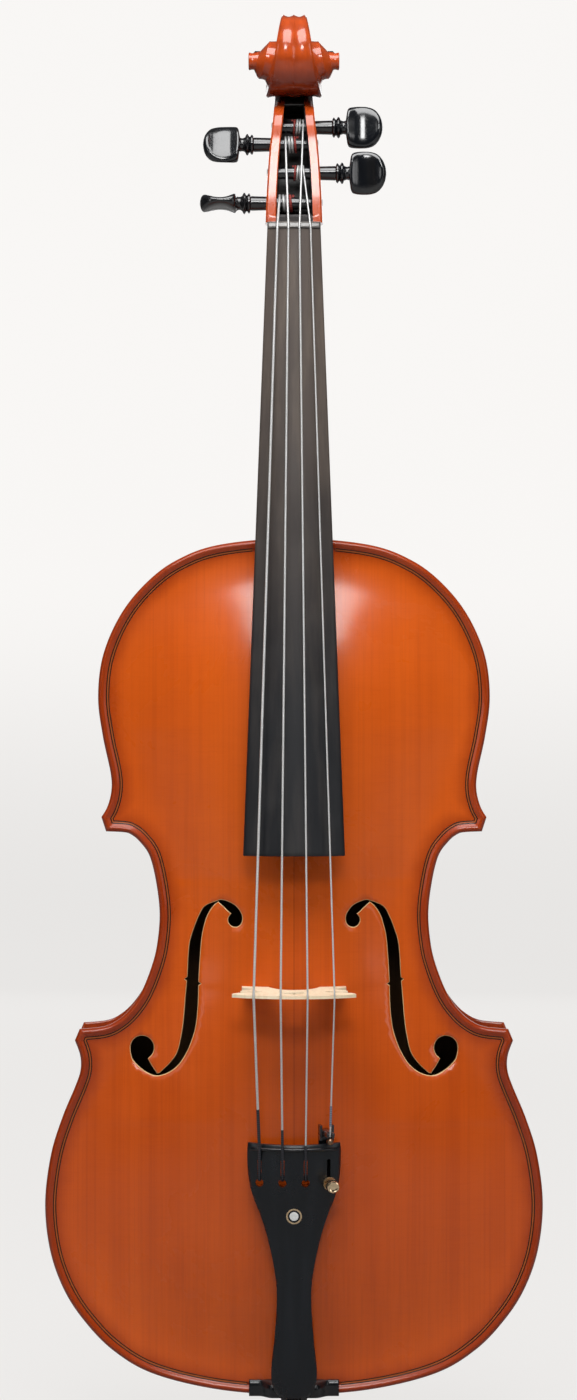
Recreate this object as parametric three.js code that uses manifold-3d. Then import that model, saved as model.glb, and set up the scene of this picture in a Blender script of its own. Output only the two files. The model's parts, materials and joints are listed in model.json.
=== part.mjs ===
// A full-size viola, built as the separate pieces that a maker glues and fits together.
//
// The frame: the origin is the middle of the end button's flat face, +Z runs up the body to
// the scroll, +X is the treble side (the thinnest string), and the belly faces -Y. Places on
// the instrument are given across (x), along (z) and by height, which is measured from the
// middle of the ribs towards the belly, so height is -y.

import * as THREE from "three";
import { mergeVertices } from "three/addons/utils/BufferGeometryUtils.js";
import Module from "manifold-3d";

const wasm = await Module();
wasm.setup();

// Sizes of the body
const bodyLength = 406;
const upperHalfWidth = 92.9;
const waistHalfWidth = 63.7;
const lowerHalfWidth = 118;
const upperCornerHalfWidth = 89.1;
const lowerCornerHalfWidth = 101.6;
const bodyBottom = 17;
const ribHeight = 38;
const ribThickness = 1.2;
const overhang = 2.8;
const liningWidth = 2;
const liningHeight = 8;
const neckBlockDepth = 20;
const endBlockDepth = 16;

// Sizes of the two plates
const edgeThickness = 4.5;
const edgeRounding = 0.9;
const edgeMiddle = 2.2;
const crestInset = 1.7;
const purflingInset = 3.8;
const purflingWidth = 1.6;
const purflingOuterRise = 3.9;
const purflingInnerRise = 3.55;
const purflingFloor = 2.2;
const archFootInset = 11.5;
const archFootRise = 3;
const bellyArch = 17.5;
const bellyThickness = 3;
const backArch = 17;
const backThickness = 3.6;
const spineShare = 0.7;
const spineFallShare = 0.16;
const spineFallPower = 2.6;
const archBias = 0.86;
const archShares = [0.16, 0.34, 0.54, 0.76, 1];
const hollowShares = [0.32, 0.66, 1];
const buttonRadius = 12;
const buttonCentreDepth = 2;

// Sizes of the sound holes, the bar and the post
const upperEyeRadius = 3.6;
const lowerEyeRadius = 5.9;
const eyeRadiusSides = 14;
const holeLength = 84;
const holeAboveBridge = 44.2;
const holeSpread = 72;
const barWidth = 5.5;
const barAcross = 19.5;
const barLowerShare = 0.1355;
const barUpperShare = 0.8695;
const barMiddleRise = 3.5;
const barEndRise = 1.6;
const postRadius = 3.2;
const postAcross = 19.5;
const postBehindBridge = 7;

// Sizes of the neck and the fingerboard
const stringLengthAboveBody = 147;
const overstand = 8;
const neckSlope = THREE.MathUtils.degToRad(6.1);
const mortiseDepth = 6;
const heelHalfWidth = 12;
const heelLength = 9;
const heelReach = 31;
const neckDepthAtHeel = 13.6;
const neckDepthAtNut = 12.2;
const boardLength = 296.5;
const boardHalfWidthAtNut = 12.65;
const boardHalfWidthAtEnd = 23.8;
const boardSide = 5;
const boardRadius = 41;
const boardHollowDepth = 6;
const boardHollowRim = 3;
const nutLength = 3.4;
const nutRise = 0.7;
const nutFall = 4;
const nutCrest = 0.5;
const glueGap = 0.1;

// Sizes of the head
const headLength = 79.6;
const eyeDrop = 11.9;
const voluteRadius = 22.5;
const voluteHalfWidth = 21.5;
const voluteEyeRadius = 4;
const fluteDepth = 1.3;
const footOffset = 0.6;
const pegboxDepth = 24;
const pegboxHalfWidth = 13.5;
const pegboxChamfer = 2.2;
const pegboxFloor = 5;
const pegboxWallAtNut = 4.9;
const pegboxWallAtThroat = 4.7;
const cavityStart = 4;

// Sizes of the pegs
const pegTipRadius = 2.6;
const pegCheekRadius = 3.3;
const pegTipReach = 1.6;
const pegCollarRadius = 5.5;
const pegCollarThickness = 1.6;
const pegHeadLength = 22.6;
const pegHeadHalfWidth = 10.3;
const pegHeadHalfThickness = 4.6;
const pegClearance = 0.3;

// Sizes of the bridge
const bridgeAlongShare = 0.4704;
const bridgeFootHalfWidth = 24.4;
const bridgeTopHalfWidth = 28.9;
const bridgeOverBoard = 3.2;
const bridgeBaseRise = 11;
const bridgeFootThickness = 4.4;
const bridgeTopThickness = 1.4;
const bridgeHeartRadius = 4.2;
const bridgeHeartShare = 0.66;

// Sizes of the tailpiece and what hangs on it
const tailpieceLength = 120.7;
const tailpieceEndInset = 1.6;
const tailpieceHalfWidth = 21.9;
const tailpieceTopRise = 26;
const tailpieceEndRise = 14.6;
const tailpieceSide = 3.4;
const tailpieceCrownRadius = 41;
const tailpieceEndCrown = 2.2;
const tailpieceHollowRadius = 36;
const tailpieceHollowSlope = THREE.MathUtils.degToRad(10.2);
const tailpieceThickness = 4.6;
const fretInset = 2.9;
const fretWidth = 1.6;
const fretRise = 1.1;
const fretDepth = 1;
const keyholeInset = 18.8;
const keyholeRadius = 1.9;
const keyholeSlotWidth = 1.7;
const keyholeSlotLength = 10.5;
const tunerHoleRadius = 2.3;
const eyeInlayInset = 34.6;
const eyeInlayRadius = 3.7;
const eyeRingWidth = 0.8;
const eyeDotRadius = 2.1;
const eyeInlayDepth = 1.2;

// Sizes of the saddle, the end button and the tailgut
const saddleHalfWidth = 21.3;
const saddleLength = 7.6;
const saddleFlankRise = 5.8;
const saddleTopRise = 12;
const saddleTopHalfWidth = 11;
const saddleFlankHalfWidth = 16;
const buttonHeadRadius = 7.2;
const buttonHeadLength = 8;
const buttonFaceRadius = 6.4;
const buttonNeckRadius = 4.4;
const buttonNeckLength = 5.6;
const buttonCollarRadius = 6.9;
const buttonShankRadius = 4;
const buttonShankTip = 3.5;
const buttonShankLength = 15;
const gutRadius = 1.1;
const gutSpread = 4.4;
const gutInside = 12;

// Sizes of the strings, from the lowest to the highest
const stringRadii = [0.6, 0.5, 0.45, 0.4];
const stringSides = 6;
const stringSpreadAtNut = 5.25;
const stringSpreadAtBridge = 12.5;
const stringSpreadAtTail = 10.8;
const seatGap = 0.25;
const ballRadius = 1.7;
const windingTurns = 3;
const windingGap = 0.45;
const windingSteps = 16;

// Sizes of the fine tuner
const tunerTilt = THREE.MathUtils.degToRad(12);
const tunerHalfWidth = 3.4;
const tunerPostRadius = 1.7;
const tunerPostTop = 2.9;
const tunerClampRadius = 3.3;
const tunerClampHeight = 2;
const tunerClampLift = 0.9;
const tunerScrewRadius = 0.8;
const tunerHeadRadius = 3;
const tunerHeadHeight = 4.2;
const tunerHeadLift = 6.2;
const tunerBaseDrop = 6.5;
const tunerBaseThickness = 1.3;
const tunerBaseBack = 3;
const tunerCheekStart = 19.4;
const tunerCheekEnd = 26.5;
const tunerCheekRise = 2.7;
const tunerCheekThickness = 1.2;
const tunerPivotReach = 23.2;
const tunerPivotDrop = 6.2;
const tunerPinRadius = 0.9;
const tunerArmDrop = 8.2;
const tunerArmThickness = 1.5;
const tunerForkThickness = 2.2;
const tunerForkTop = 4.7;
const tunerForkSlotWidth = 1.5;
const tunerForkSlotFloor = 0.8;
const tunerBallHeight = 2.9;
const tunerGap = 0.3;

// How finely the curves are cut into flats
const upperSteps = 12;
const waistSteps = 9;
const lowerSteps = 13;
const blockSteps = 2;
const softenPasses = 2;
const crownSteps = 6;
const neckSteps = 12;
const gutSides = 8;
const gutTurnSteps = 12;
const ballSides = 10;
const buttonSteps = 14;
const tunerSides = 16;
const pegSides = 10;
const hollowSides = 60;
const holeSides = 12;
const turnSteps = 20;
const holeOverrun = 12;
const cutOverrun = 40;
const weld = 0.0001;

// Half of the outline, from the top middle down the treble side to the bottom middle. Each
// row is [share of the bout's half width, share of the body length from the bottom]. The
// waist's rows reach out from the waist's half width to the corner's.
const upperBoutShares = [
  [0, 1],
  [0.379, 0.9926],
  [0.603, 0.9741],
  [0.763, 0.9461],
  [0.89, 0.9089],
  [0.976, 0.8623],
  [1, 0.814],
  [0.976, 0.7692],
  [0.9365, 0.7266],
  [0.932, 0.7057],
  [0.9515, 0.6872],
  [0.983, 0.6744],
];
const upperWaistShares = [
  [1, 0.6576],
  [0.681, 0.6567],
  [0.543, 0.6544],
  [0.374, 0.6458],
  [0.185, 0.6286],
  [0.059, 0.596],
  [0, 0.5603],
];
const lowerWaistShares = [
  [0.034, 0.5246],
  [0.103, 0.4993],
  [0.222, 0.4714],
  [0.351, 0.4527],
  [0.509, 0.4384],
  [0.694, 0.43],
  [1, 0.4271],
];
const lowerBoutShares = [
  [0.8805, 0.4136],
  [0.8593, 0.3961],
  [0.8576, 0.3793],
  [0.8771, 0.3613],
  [0.9314, 0.3232],
  [0.9771, 0.2796],
  [1, 0.2241],
  [0.9822, 0.1712],
  [0.9314, 0.1268],
  [0.8525, 0.0897],
  [0.7305, 0.0525],
  [0.5644, 0.0244],
  [0.2966, 0.0057],
  [0, 0],
];

// The sound hole, as [share of its spread from the middle line, share of its length down
// from its top]: the stem's outer side going down, then its inner side going up, and the
// two passages that join the stem to its round eyes.
const holeOuterShares = [
  [0.486, 0],
  [0.587, 0.037],
  [0.631, 0.098],
  [0.662, 0.165],
  [0.688, 0.238],
  [0.698, 0.317],
  [0.702, 0.407],
  [0.725, 0.451],
  [0.709, 0.479],
  [0.719, 0.569],
  [0.727, 0.659],
  [0.74, 0.749],
  [0.766, 0.85],
  [0.806, 0.908],
  [0.867, 0.962],
  [0.898, 0.984],
];
const holeInnerShares = [
  [0.895, 0.995],
  [0.823, 0.979],
  [0.753, 0.931],
  [0.701, 0.861],
  [0.666, 0.788],
  [0.644, 0.721],
  [0.631, 0.631],
  [0.626, 0.552],
  [0.613, 0.477],
  [0.62, 0.39],
  [0.613, 0.3],
  [0.604, 0.216],
  [0.591, 0.16],
  [0.569, 0.098],
  [0.535, 0.048],
  [0.499, 0.016],
];
const upperPassageShares = [
  [0.487, -0.002],
  [0.43, 0.011],
  [0.378, 0.034],
  [0.342, 0.076],
  [0.333, 0.112],
  [0.386, 0.115],
  [0.417, 0.079],
  [0.5, 0.018],
];
const lowerPassageShares = [
  [0.896, 0.98],
  [0.964, 0.893],
  [0.999, 0.84],
  [1.082, 0.85],
  [1.065, 0.908],
  [1.016, 0.953],
  [0.955, 0.987],
  [0.897, 0.998],
];
const upperEyeShares = [0.386, 0.115];
const lowerEyeShares = [0.999, 0.84];

// The volute, one row for each quarter turn from the back of the head, over the top, down
// the front and inwards: [share of the volute's radius, share of its half width].
const voluteShares = [
  [1.089, 0.395],
  [1, 0.256],
  [0.889, 0.419],
  [0.756, 0.628],
  [0.622, 0.586],
  [0.431, 0.586],
  [0.391, 0.674],
  [0.378, 0.814],
  [0.289, 0.88],
  [0.222, 0.907],
];

// The volute's rim across: an edge, a flute, the ridge in the middle, a flute, an edge.
const rimShares = [-1, -0.5, 0, 0.5, 1];

// The neck's heel from the body up to the shaft: [share of the heel's reach, share of the
// way from the heel's foot to the shaft's depth, squareness of the section].
const rootSquareness = 0.2;
const heelShares = [
  [0, 0, rootSquareness],
  [0.29, 0, 0.25],
  [0.4, 0.12, 0.35],
  [0.52, 0.42, 0.5],
  [0.66, 0.74, 0.7],
  [0.82, 0.92, 0.85],
  [1, 1, 0.95],
];
const shaftShares = [0.4, 0.75, 1];

// The pegbox, from behind the nut to the eye: [share of the way, front and back as shares of
// the pegbox's depth from the eye's height, share of the half width].
const pegboxShares = [
  [0, 0.845, 0.229, 1],
  [0.2, 0.775, -0.042, 0.956],
  [0.42, 0.667, -0.333, 0.874],
  [0.62, 0.525, -0.604, 0.748],
  [0.7, 0.312, -0.708, 0.711],
  [0.76, -0.083, -0.804, 0.681],
  [0.84, -0.458, -0.917, 0.659],
  [1, -0.6, -1.02, 0.63],
];

// The pegs in the order of the strings: [string, share of the way from behind the nut to the
// eye, share of the pegbox's depth, side of the head, collar's place as a share of the
// pegbox's half width, the head's turn in degrees, and where the string meets the peg].
const pegShares = [
  ["c", 0.125, 0.508, -1, 1.65, 86, 0.51],
  ["g", 0.489, 0.208, -1, 1.55, 40, 0.3],
  ["d", 0.597, 0.083, 1, 1.48, -12, 0.33],
  ["a", 0.311, 0.375, 1, 1.6, 4, 0.33],
];

// The peg's head from the collar outwards: [share of its length, share of its half width,
// share of its half thickness].
const pegHeadShares = [
  [0.16, 0.3, 0.65],
  [0.24, 0.58, 0.7],
  [0.38, 0.92, 0.68],
  [0.56, 1, 0.76],
  [0.74, 0.9, 0.94],
  [0.89, 0.6, 1],
  [0.965, 0.25, 0.55],
  [1, 0.1, 0.22],
];

// Half of the bridge's outline from the middle of the arch between its feet, out and up to
// its shoulder: [share of the foot's half width, share of the height above the base].
const bridgeShares = [
  [0, 0.42],
  [0.16, 0.4],
  [0.3, 0.33],
  [0.42, 0.24],
  [0.5, 0.15],
  [0.5, 0],
  [1, 0],
  [1, 0.18],
  [0.9, 0.24],
  [0.8, 0.3],
  [0.86, 0.37],
  [1, 0.43],
  [1.03, 0.47],
  [0.98, 0.5],
  [0.8, 0.49],
  [0.66, 0.47],
  [0.58, 0.52],
  [0.62, 0.59],
  [0.76, 0.61],
  [0.9, 0.6],
  [1.05, 0.635],
];

// The tailpiece from its top to its end: [share of the way, share of its half width].
const tailpieceShares = [
  [0, 0.985],
  [0.04, 1],
  [0.13, 0.977],
  [0.21, 0.88],
  [0.29, 0.71],
  [0.37, 0.575],
  [0.49, 0.43],
  [0.6, 0.368],
  [0.76, 0.415],
  [0.9, 0.49],
  [0.97, 0.44],
  [1, 0.33],
];

// Places worked out from the sizes
const ribHalf = ribHeight / 2;
const bodyTop = bodyBottom + bodyLength;
const nutFront = bodyTop + stringLengthAboveBody;
const nutBack = nutFront + nutLength;
const eyeAlong = nutBack + headLength;
const boardEnd = nutFront - boardLength;
const tuck = overhang + ribThickness;
const bodyMiddle = bodyBottom + bodyLength / 2;
const bridgeAlong = bodyBottom + bridgeAlongShare * bodyLength;
const bridgeBase = ribHalf + bridgeBaseRise;
const holeTop = bridgeAlong + holeAboveBridge;
const barLowerEnd = bodyBottom + barLowerShare * bodyLength;
const barUpperEnd = bodyBottom + barUpperShare * bodyLength;
const barMiddleHeight = ribHalf + barMiddleRise;
const barEndHeight = ribHalf + barEndRise;
const tailpieceEndAlong = bodyBottom + tailpieceEndInset;
const tailpieceTopAlong = tailpieceEndAlong + tailpieceLength;
const tailpieceTopUnder = ribHalf + tailpieceTopRise;
const tailpieceEndUnder = ribHalf + tailpieceEndRise;
const saddleFlankHeight = ribHalf + saddleFlankRise;
const saddleTopHeight = ribHalf + saddleTopRise;

/** A place from the maker's own directions. */
const at = (across, height, along) => new THREE.Vector3(across, -height, along);

const mix = THREE.MathUtils.lerp;

/** Reads a table of equally spaced values at any place between them, with a smooth curve. */
function smoothRead(values, place) {
  const last = values.length - 1;
  const left = Math.min(Math.floor(place), last - 1);
  const part = place - left;
  const [before, from, to, after] = [-1, 0, 1, 2].map(
    (step) => values[THREE.MathUtils.clamp(left + step, 0, last)],
  );
  const leave = (to - before) / 2;
  const arrive = (after - from) / 2;
  const rise = to - from;
  const bend = 3 * rise - 2 * leave - arrive;
  const settle = leave + arrive - 2 * rise;
  return from + part * (leave + part * (bend + part * settle));
}

// From surfaces to solids

/** The flat faces that close a ring of corners, wound the way the ring runs. */
function capFaces(ring, first) {
  const normal = new THREE.Vector3();
  ring.forEach((corner, i) => normal.add(corner.clone().cross(ring[(i + 1) % ring.length])));
  normal.normalize();
  const level = ring[1].clone().sub(ring[0]).normalize();
  const upright = normal.clone().cross(level);
  const flat = ring.map((corner) => new THREE.Vector2(corner.dot(level), corner.dot(upright)));
  return THREE.ShapeUtils.triangulateShape(flat, []).flatMap(([a, b, c]) => {
    const turn = flat[b].clone().sub(flat[a]).cross(flat[c].clone().sub(flat[a]));
    return (turn > 0 ? [a, b, c] : [a, c, b]).map((corner) => first + corner);
  });
}

/** A closed surface over rings of equally many corners: open ends are capped, unless the
 * rings shut by themselves or the last one joins the first. */
function skin(rings, { capped = true, joined = false } = {}) {
  const around = rings[0].length;
  const faces = [];
  const bands = joined ? rings.length : rings.length - 1;
  for (let band = 0; band < bands; band++) {
    const here = band * around;
    const there = ((band + 1) % rings.length) * around;
    for (let step = 0; step < around; step++) {
      const next = (step + 1) % around;
      faces.push(here + step, here + next, there + next);
      faces.push(here + step, there + next, there + step);
    }
  }
  if (capped && !joined) {
    const start = capFaces(rings[0], 0);
    faces.push(...start.reverse());
    faces.push(...capFaces(rings[rings.length - 1], (rings.length - 1) * around));
  }
  const geometry = new THREE.BufferGeometry().setFromPoints(rings.flat());
  geometry.setIndex(faces);
  return geometry;
}

/** A solid from a closed geometry, with its shared corners welded and its faces outward. */
function solid(geometry) {
  const bare = new THREE.BufferGeometry();
  bare.setAttribute("position", geometry.getAttribute("position"));
  bare.setIndex(geometry.index);
  const welded = mergeVertices(bare, weld);
  const index = welded.index.array;
  const outward = [];
  const inward = [];
  for (let i = 0; i < index.length; i += 3) {
    const [a, b, c] = [index[i], index[i + 1], index[i + 2]];
    if (a === b || b === c || c === a) continue;
    outward.push(a, b, c);
    inward.push(a, c, b);
  }
  const vertProperties = welded.attributes.position.array;
  const build = (corners) =>
    new wasm.Manifold(
      new wasm.Mesh({ numProp: 3, vertProperties, triVerts: new Uint32Array(corners) }),
    );
  const made = build(outward);
  return made.volume() > 0 ? made : build(inward);
}

/** The largest body of a solid that a cut has left in several. */
function largestBody(made) {
  return made.decompose().reduce((best, body) => (body.volume() > best.volume() ? body : best));
}

/** A solid's geometry, as three.js draws it. */
function geometryOf(made) {
  const mesh = made.getMesh();
  const geometry = new THREE.BufferGeometry();
  geometry.setAttribute("position", new THREE.BufferAttribute(mesh.vertProperties.slice(), 3));
  geometry.setIndex(new THREE.BufferAttribute(mesh.triVerts.slice(), 1));
  const apart = geometry.toNonIndexed();
  apart.computeVertexNormals();
  return apart;
}

/** A prism with its outline in the plane of the plates, between two heights. */
function standing(outline, fromHeight, toHeight) {
  const ring = (height) => outline.map((place) => at(place.x, height, place.y));
  return skin([ring(fromHeight), ring(toHeight)]);
}

/** A prism with its outline across the instrument, as [across, height], along its length. */
function lengthwise(outline, fromAlong, toAlong) {
  const ring = (along) => outline.map(([across, height]) => at(across, height, along));
  return skin([ring(fromAlong), ring(toAlong)]);
}

/** A round cord along a line of points, with a flat end at each tip. */
function cord(points, radius, sides) {
  let side = new THREE.Vector3(0, 1, 0);
  const rings = points.map((point, i) => {
    const before = points[Math.max(i - 1, 0)];
    const after = points[Math.min(i + 1, points.length - 1)];
    const ahead = after.clone().sub(before).normalize();
    side = side.clone().addScaledVector(ahead, -side.dot(ahead)).normalize();
    const other = ahead.clone().cross(side);
    return Array.from({ length: sides }, (_, k) => {
      const turn = (2 * Math.PI * k) / sides;
      return point
        .clone()
        .addScaledVector(side, radius * Math.cos(turn))
        .addScaledVector(other, radius * Math.sin(turn));
    });
  });
  return skin(rings);
}

/** A round bar across the instrument whose radius changes evenly, for holes and pins. */
function crossBar(fromAcross, toAcross, fromRadius, toRadius, height, along, sides) {
  const length = toAcross - fromAcross;
  const bar = new THREE.CylinderGeometry(toRadius, fromRadius, length, sides);
  bar.rotateZ(-Math.PI / 2);
  bar.translate((fromAcross + toAcross) / 2, -height, along);
  return bar;
}

// The outline and the lines that follow it

const mirrored = (place) => new THREE.Vector2(-place.x, place.y);

/** The treble half of a bout whose table starts or ends on the middle line. */
function halfBout(places, steps, startsInMiddle) {
  const run = startsInMiddle ? places : [...places].reverse();
  const whole = [...run.slice(1).reverse().map(mirrored), ...run];
  const cut = new THREE.SplineCurve(whole).getSpacedPoints(2 * steps).slice(steps);
  cut[0].x = 0;
  return startsInMiddle ? cut : cut.reverse();
}

const upperPlaces = upperBoutShares.map(
  ([across, along]) =>
    new THREE.Vector2(across * upperHalfWidth, bodyBottom + along * bodyLength),
);
const lowerPlaces = lowerBoutShares.map(
  ([across, along]) =>
    new THREE.Vector2(across * lowerHalfWidth, bodyBottom + along * bodyLength),
);
const waistPlaces = [
  ...upperWaistShares.map(([reach, along]) => [reach, along, upperCornerHalfWidth]),
  ...lowerWaistShares.map(([reach, along]) => [reach, along, lowerCornerHalfWidth]),
].map(
  ([reach, along, corner]) =>
    new THREE.Vector2(mix(waistHalfWidth, corner, reach), bodyBottom + along * bodyLength),
);

// The three stretches meet at the blunt ends of the corners, each one flat wide.
const outline = [
  ...halfBout(upperPlaces, upperSteps, true),
  ...new THREE.SplineCurve(waistPlaces).getSpacedPoints(waistSteps),
  ...halfBout(lowerPlaces, lowerSteps, false),
];
const upperTip = upperSteps;
const waistStart = upperSteps + 1;
const waistEnd = waistStart + waistSteps;
const lowerTip = waistEnd + 1;
const bottomMiddle = outline.length - 1;

/** A half line's neighbours: past the middle line it goes on in its own mirror image. */
function neighbours(line, i) {
  const last = line.length - 1;
  const before = i > 0 ? line[i - 1] : mirrored(line[1]);
  const after = i < last ? line[i + 1] : mirrored(line[last - 1]);
  return [before, after];
}

/** The half line moved inwards by one depth everywhere, with its corners mitred. */
function insetLine(line, depth) {
  const inward = (from, to) => {
    const run = to.clone().sub(from).normalize();
    return new THREE.Vector2(run.y, -run.x);
  };
  return line.map((place, i) => {
    const [before, after] = neighbours(line, i);
    const arriving = inward(before, place);
    const leaving = inward(place, after);
    const reach = depth / (1 + arriving.dot(leaving));
    const moved = place.clone().addScaledVector(arriving.add(leaving), reach);
    if (place.x === 0) moved.x = 0;
    return moved;
  });
}

/** The half line with its corners worn away, each place averaged with its neighbours. */
function softened(line, passes) {
  let worn = line;
  for (let pass = 0; pass < passes; pass++) {
    const previous = worn;
    worn = previous.map((place, i) => {
      const [before, after] = neighbours(previous, i);
      const average = before.clone().add(after).addScaledVector(place, 2).divideScalar(4);
      if (place.x === 0) average.x = 0;
      return average;
    });
  }
  return worn;
}

const archFoot = insetLine(softened(outline, softenPasses), archFootInset);

/** Both halves of a line as one loop. */
const wholeLoop = (line) => [...line, ...line.slice(1, -1).reverse().map(mirrored)];

// The plates

/** How high the arch stands on the spine, the middle line of the plate. */
function spineRise(along, arch) {
  const reach = Math.abs(along - bodyMiddle) / ((spineShare * bodyLength) / 2);
  return arch * (1 - spineFallShare * Math.min(reach, 1) ** spineFallPower);
}

/** The line that lies a share of the way from the arch's foot up to the spine. */
function archLine(share, arch, foot, drop) {
  return archFoot.map((place) => {
    const spineAlong = mix(bodyMiddle, place.y, spineShare);
    const climb = (1 - Math.cos(Math.PI * share ** archBias)) / 2;
    const rise = mix(foot, spineRise(spineAlong, arch), climb) - drop;
    return { across: mix(place.x, 0, share), along: mix(place.y, spineAlong, share), rise };
  });
}

const flatLine = (line, rise) => line.map((place) => ({ across: place.x, along: place.y, rise }));

/** A plate's line as a loop in space, on the belly's side (1) or the back's (-1). */
function plateRing(line, side) {
  const place = ({ across, along, rise }) => at(across, side * (ribHalf + rise), along);
  const mirror = ({ across, along, rise }) => ({ across: -across, along, rise });
  return [...line.map(place), ...line.slice(1, -1).reverse().map(mirror).map(place)];
}

const purflingOuter = insetLine(outline, purflingInset);
const purflingInner = insetLine(outline, purflingInset + purflingWidth);

/** An arched plate with its rounded edge and the groove that takes the purfling. */
function plate(arch, thickness, side) {
  const inside = hollowShares.map((share) => archLine(share, arch, archFootRise, thickness));
  const lines = [
    ...inside.reverse(),
    flatLine(archFoot, 0),
    flatLine(insetLine(outline, edgeRounding), 0),
    flatLine(outline, edgeMiddle),
    flatLine(insetLine(outline, crestInset), edgeThickness),
    flatLine(purflingOuter, purflingOuterRise),
    flatLine(purflingOuter, purflingFloor),
    flatLine(purflingInner, purflingFloor),
    flatLine(purflingInner, purflingInnerRise),
    flatLine(archFoot, archFootRise),
    ...archShares.map((share) => archLine(share, arch, archFootRise, 0)),
  ];
  return solid(skin(lines.map((line) => plateRing(line, side)), { capped: false }));
}

/** The purfling strip that fills the groove. */
function purfling(side) {
  const lines = [
    flatLine(purflingOuter, purflingFloor),
    flatLine(purflingOuter, purflingOuterRise),
    flatLine(purflingInner, purflingInnerRise),
    flatLine(purflingInner, purflingFloor),
  ];
  return solid(skin(lines.map((line) => plateRing(line, side)), { joined: true }));
}

// A sound hole

/** A place in the treble sound hole from its shares. */
const holePlace = ([across, down]) =>
  new THREE.Vector2(across * holeSpread, holeTop - down * holeLength);

function soundHole(side) {
  const through = ribHalf + bellyArch + holeOverrun;
  const outlines = [
    [...holeOuterShares, ...holeInnerShares].map(holePlace),
    upperPassageShares.map(holePlace),
    lowerPassageShares.map(holePlace),
    roundPlaces(holePlace(upperEyeShares), upperEyeRadius, eyeRadiusSides),
    roundPlaces(holePlace(lowerEyeShares), lowerEyeRadius, eyeRadiusSides),
  ];
  return outlines
    .map((places) => places.map((place) => new THREE.Vector2(side * place.x, place.y)))
    .map((places) => solid(standing(places, ribHalf - holeOverrun, through)))
    .reduce((whole, part) => whole.add(part));
}

/** The corners of a circle. */
function roundPlaces(centre, radius, sides) {
  return Array.from({ length: sides }, (_, k) => {
    const turn = (2 * Math.PI * k) / sides;
    return new THREE.Vector2(radius * Math.cos(turn), radius * Math.sin(turn)).add(centre);
  });
}

// The neck's lines

/** The height of the plane on which the fingerboard is glued. */
const glueHeight = (along) =>
  ribHalf + edgeThickness + overstand - (along - bodyTop) * Math.tan(neckSlope);

const boardHalfWidth = (along) =>
  mix(boardHalfWidthAtNut, boardHalfWidthAtEnd, (nutFront - along) / boardLength);

/** How far a round top of one radius has fallen at a distance from its middle. */
const crownFall = (radius, across) => radius - Math.sqrt(radius ** 2 - across ** 2);

/** The height of the fingerboard's round top. */
function boardTop(along, across) {
  const crown = crownFall(boardRadius, boardHalfWidth(along));
  return glueHeight(along) + boardSide + crown - crownFall(boardRadius, across);
}

const bridgeTopHeight = boardTop(bridgeAlong, 0) + bridgeOverBoard;
const eyeHeight = glueHeight(eyeAlong) - eyeDrop;

/** One cross-section of the neck: flat on top, and round or square below. */
function neckRing({ along, low, squareness, footHalfWidth, grow = 0 }) {
  const top = glueHeight(along) + grow;
  const depth = top - low;
  const half = boardHalfWidth(along) + grow;
  return Array.from({ length: neckSteps + 1 }, (_, k) => {
    const turn = (Math.PI * k) / neckSteps;
    const out = Math.sign(Math.cos(turn)) * Math.abs(Math.cos(turn)) ** squareness;
    const down = Math.abs(Math.sin(turn)) ** squareness;
    const width = mix(half, footHalfWidth + grow, footHalfWidth ? down : 0);
    return at((k === neckSteps / 2 ? 0 : out) * width, top - down * depth, along);
  });
}

/** The square root of the neck that the block holds, and the hole cut for it when grown. */
function neckRoot(grow) {
  const low = -ribHalf;
  const square = { low, squareness: rootSquareness, footHalfWidth: heelHalfWidth, grow };
  return solid(
    skin([
      neckRing({ ...square, along: bodyTop - mortiseDepth - grow }),
      neckRing({ ...square, along: bodyTop + heelLength / 2 }),
    ]),
  );
}

/** The neck's shaft with the heel that curves down from it to the back's button. */
function neckShaft() {
  const shaftLow = (along) => {
    const share = (along - bodyTop - heelReach) / (nutBack - bodyTop - heelReach);
    return glueHeight(along) - mix(neckDepthAtHeel, neckDepthAtNut, Math.max(share, 0));
  };
  const heel = heelShares.map(([reach, lift, squareness]) => {
    const along = bodyTop + reach * heelReach;
    const foot = mix(heelHalfWidth, boardHalfWidth(along), lift);
    return neckRing({
      along,
      low: mix(-ribHalf, shaftLow(along), lift),
      squareness,
      footHalfWidth: lift < 1 ? foot : 0,
    });
  });
  const shaft = shaftShares.map((share) => {
    const along = mix(bodyTop + heelReach, nutBack + cavityStart / 2, share);
    return neckRing({ along, low: shaftLow(along), squareness: 1, footHalfWidth: 0 });
  });
  return solid(skin([...heel, ...shaft]));
}

// The head

const headAlong = (share) => mix(nutBack, eyeAlong, share);
const headHeight = (share) => eyeHeight + share * pegboxDepth;

/** The pegbox before it is hollowed, with two flutes and a ridge down its back. */
function pegboxBlock() {
  const rings = pegboxShares.map(([way, front, back, width]) => {
    const along = headAlong(way);
    const half = width * pegboxHalfWidth;
    const low = headHeight(back);
    const corner = half - pegboxChamfer;
    return [
      at(half, headHeight(front), along),
      at(half, low + pegboxChamfer, along),
      at(corner, low, along),
      at(corner / 2, low + fluteDepth, along),
      at(0, low, along),
      at(-corner / 2, low + fluteDepth, along),
      at(-corner, low, along),
      at(-half, low + pegboxChamfer, along),
      at(-half, headHeight(front), along),
    ];
  });
  return solid(skin(rings));
}

const cavityStartShare = cavityStart / (eyeAlong - nutBack);
const cavityShares = [cavityStartShare, 0.2, 0.42, 0.62, 0.735];

/** Reads one column of the pegbox's table at a share of the way along it. */
function pegboxRead(share, column) {
  const next = pegboxShares.findIndex(([way]) => way >= share && way > 0);
  const [from, to] = [pegboxShares[next - 1], pegboxShares[next]];
  return mix(from[column], to[column], (share - from[0]) / (to[0] - from[0]));
}

const innerHalfWidth = (share) =>
  pegboxRead(share, 3) * pegboxHalfWidth - mix(pegboxWallAtNut, pegboxWallAtThroat, share);

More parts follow.
